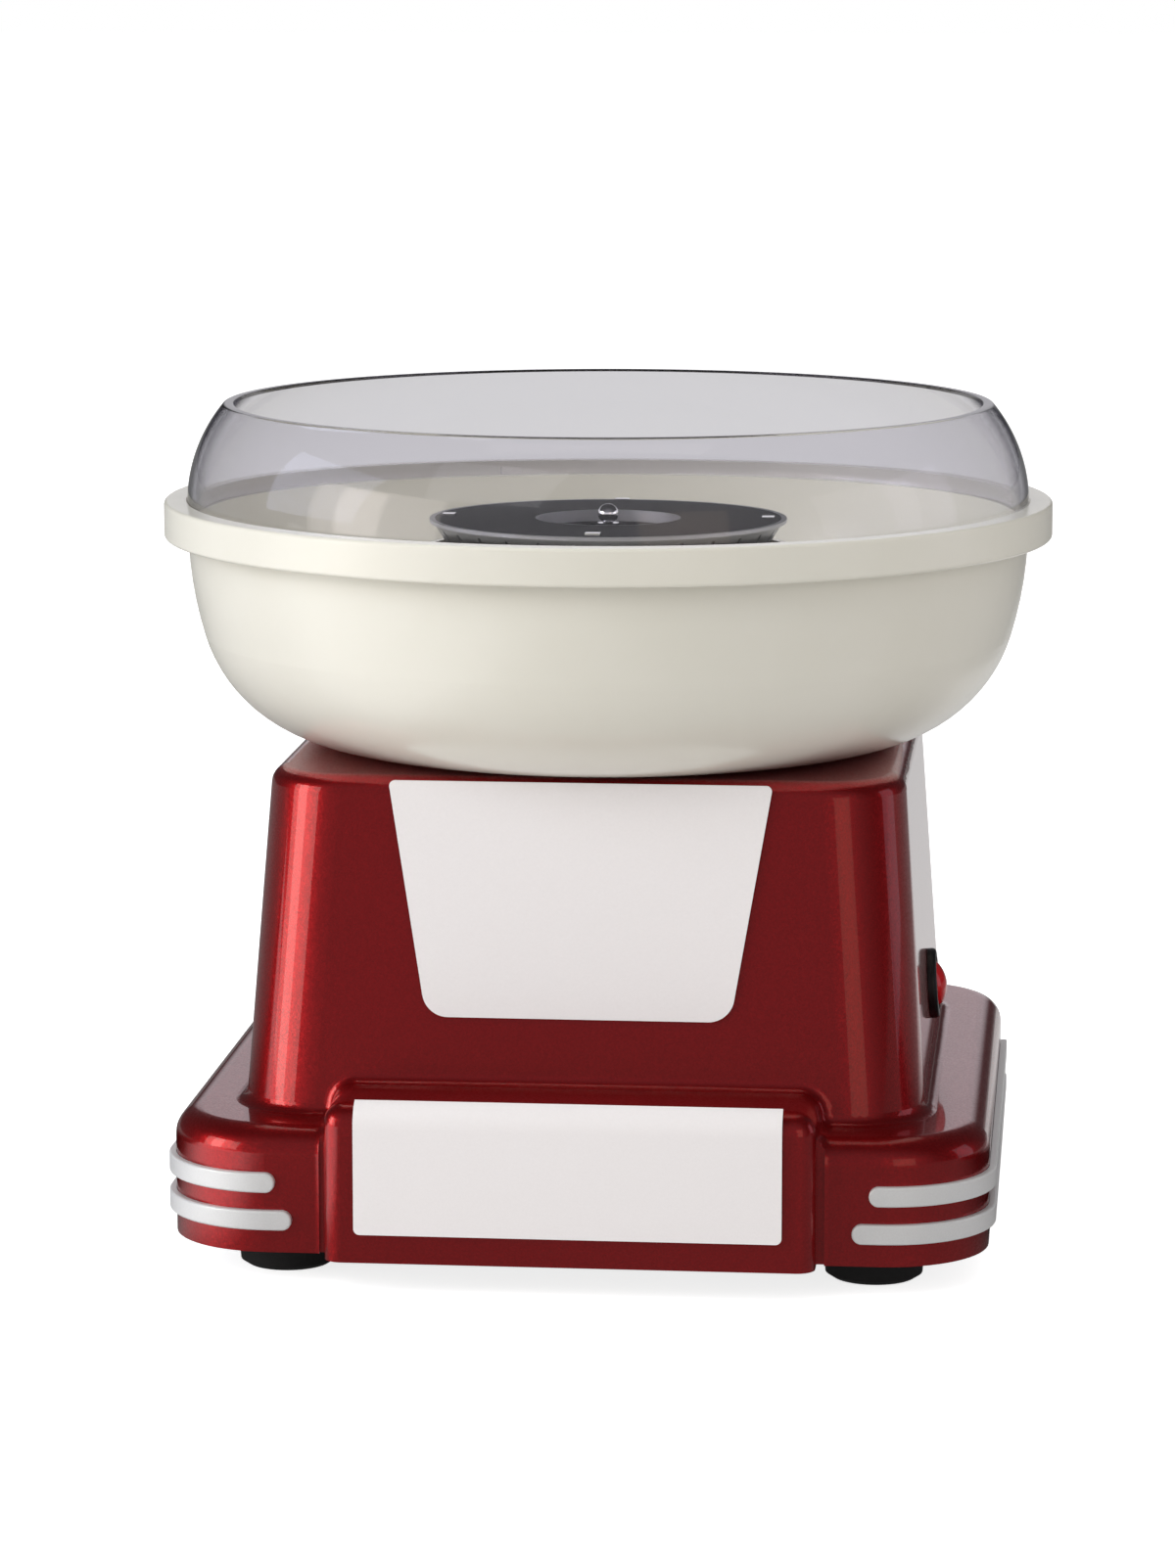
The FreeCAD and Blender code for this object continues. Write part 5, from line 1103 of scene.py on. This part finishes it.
together = add(lugs, "GeometryNodeJoinGeometry", links={"Geometry": (spread, 0)})
lugs.links.new(given.outputs["Geometry"], together.inputs["Geometry"])
finish_group(lugs, given, together)

# %% [markdown]
# The lathe turns the profile, and the second group runs on what it made. The finished guard
# stands in for the CAD one, which has square lips.

# %% Guard with its lugs
GUARD_SEGMENTS = 360
LUG_COUNT, LUG_FIRST = 3, math.radians(110)

styrene = bpy.data.materials["clear_styrene_moulded"]
wall_mesh = mesh_in_mm("guard_profile", profile, chain(len(profile)))
turned_wall = grow("turned_wall", wall_mesh, lathe, Segments=GUARD_SEGMENTS, Material=styrene)
guard = grow(
    "moulded_splash_guard",
    turned_wall.data,
    lugs,
    Lug=lug,
    Count=LUG_COUNT,
    First=LUG_FIRST,
    Material=styrene,
)
for helper in (turned_wall, lug):
    bpy.data.objects.remove(helper)
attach(guard, "guard_body")
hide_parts("splash_guard")

# %% [markdown]
# ### Pan head screws
# Eight screws hold the bottom cover and the feet, and their heads look down. They are rolled pan
# head screws, so the lathe turns the blank from a profile: the shank's end, the shank, the seat
# at zero, and the domed head below it.

# %% Screw blank
HEAD_HIGH = 2.2
SCREW_SEGMENTS = 40
SCREW_PROFILE = [
    (0, 0, 10.0),
    (0.9, 0, 10.0),
    (1.6, 0, 9.2),
    (1.6, 0, 0.0),
    (3.2, 0, 0.0),
    (3.2, 0, -1.1),
    (3.12, 0, -1.5),
    (2.85, 0, -1.9),
    (2.55, 0, -2.1),
    (2.2, 0, -HEAD_HIGH),
    (0, 0, -HEAD_HIGH),
]

zinc = bpy.data.materials["steel_zinc_plated"]
screw_mesh = mesh_in_mm("screw_profile", SCREW_PROFILE, chain(len(SCREW_PROFILE)))
blank = grow("screw_blank", screw_mesh, lathe, Segments=SCREW_SEGMENTS, Material=zinc)

# %% [markdown]
# A punch presses the cross recess into the head. The punch is a cross that starts a little
# outside the head's face and narrows as it goes in.

# %% Cross punch
CROSS_LONG, CROSS_WIDE, CROSS_DEEP, CROSS_TAPER = 1.9, 0.5, 1.4, 0.55
PUNCH_PROUD = 0.2


def cross_mesh():
    """The punch for the recess, placed under the screw's head."""
    long, wide = CROSS_LONG, CROSS_WIDE
    arm = [(wide, wide), (wide, long), (-wide, long), (-wide, wide)]
    far_arm = [(-x, -y) for x, y in arm]
    outline = [*arm, (-long, wide), (-long, -wide), *far_arm, (long, -wide), (long, wide)]
    low = [(x, y, -HEAD_HIGH - PUNCH_PROUD) for x, y in outline]
    high = [(x * CROSS_TAPER, y * CROSS_TAPER, CROSS_DEEP - HEAD_HIGH) for x, y in outline]
    count = len(outline)
    sides = [(i, (i + 1) % count, (i + 1) % count + count, i + count) for i in range(count)]
    ends = [tuple(reversed(range(count))), tuple(range(count, 2 * count))]
    return mesh_in_mm("cross_punch", low + high, faces=sides + ends)


punch = bpy.data.objects.new("cross_punch", cross_mesh())
print("the punch has", len(punch.data.polygons), "faces")

# %% [markdown]
# A third group cuts the punch from the blank and sets the recessed screw on each point it is
# given. So one cut serves all the screws, and they are all alike.

# %% Screws set on points
driven, given = new_group(
    "screws_on_points", ("Blank", "Object"), ("Punch", "Object"), ("Material", "Material")
)
blank_shape = add(driven, "GeometryNodeObjectInfo", links={"Object": (given, "Blank")})
punch_shape = add(driven, "GeometryNodeObjectInfo", links={"Object": (given, "Punch")})
recessed = add(
    driven,
    "GeometryNodeMeshBoolean",
    links={"Mesh 1": (blank_shape, "Geometry"), "Mesh 2": (punch_shape, "Geometry")},
    operation="DIFFERENCE",
)
each = add(
    driven,
    "GeometryNodeInstanceOnPoints",
    links={"Points": (given, "Geometry"), "Instance": (recessed, "Mesh")},
)
finish_group(driven, given, each)

# %% [markdown]
# Four screws hold the cover and four the feet. Each set is even from left to right, so four
# values place it: how far out the screws stand, their front and rear rows, and the height of
# their seats.

# %% Screws in their places
SCREW_SETS = {
    "cover_screws": (115.4, -111.0, 116.0, 10.7),
    "foot_screws": (96.2, -97.5, 102.5, 5.7),
}

for name, (out_x, front_y, rear_y, seat_z) in SCREW_SETS.items():
    spots = [(x, y, seat_z) for x in (-out_x, out_x) for y in (front_y, rear_y)]
    spots_mesh = mesh_in_mm(name + "_spots", spots)
    screws = grow("recessed_" + name, spots_mesh, driven, Blank=blank, Punch=punch, Material=zinc)
    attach(screws, "base")
    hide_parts(name)
for helper in (blank, punch):
    bpy.data.objects.remove(helper)
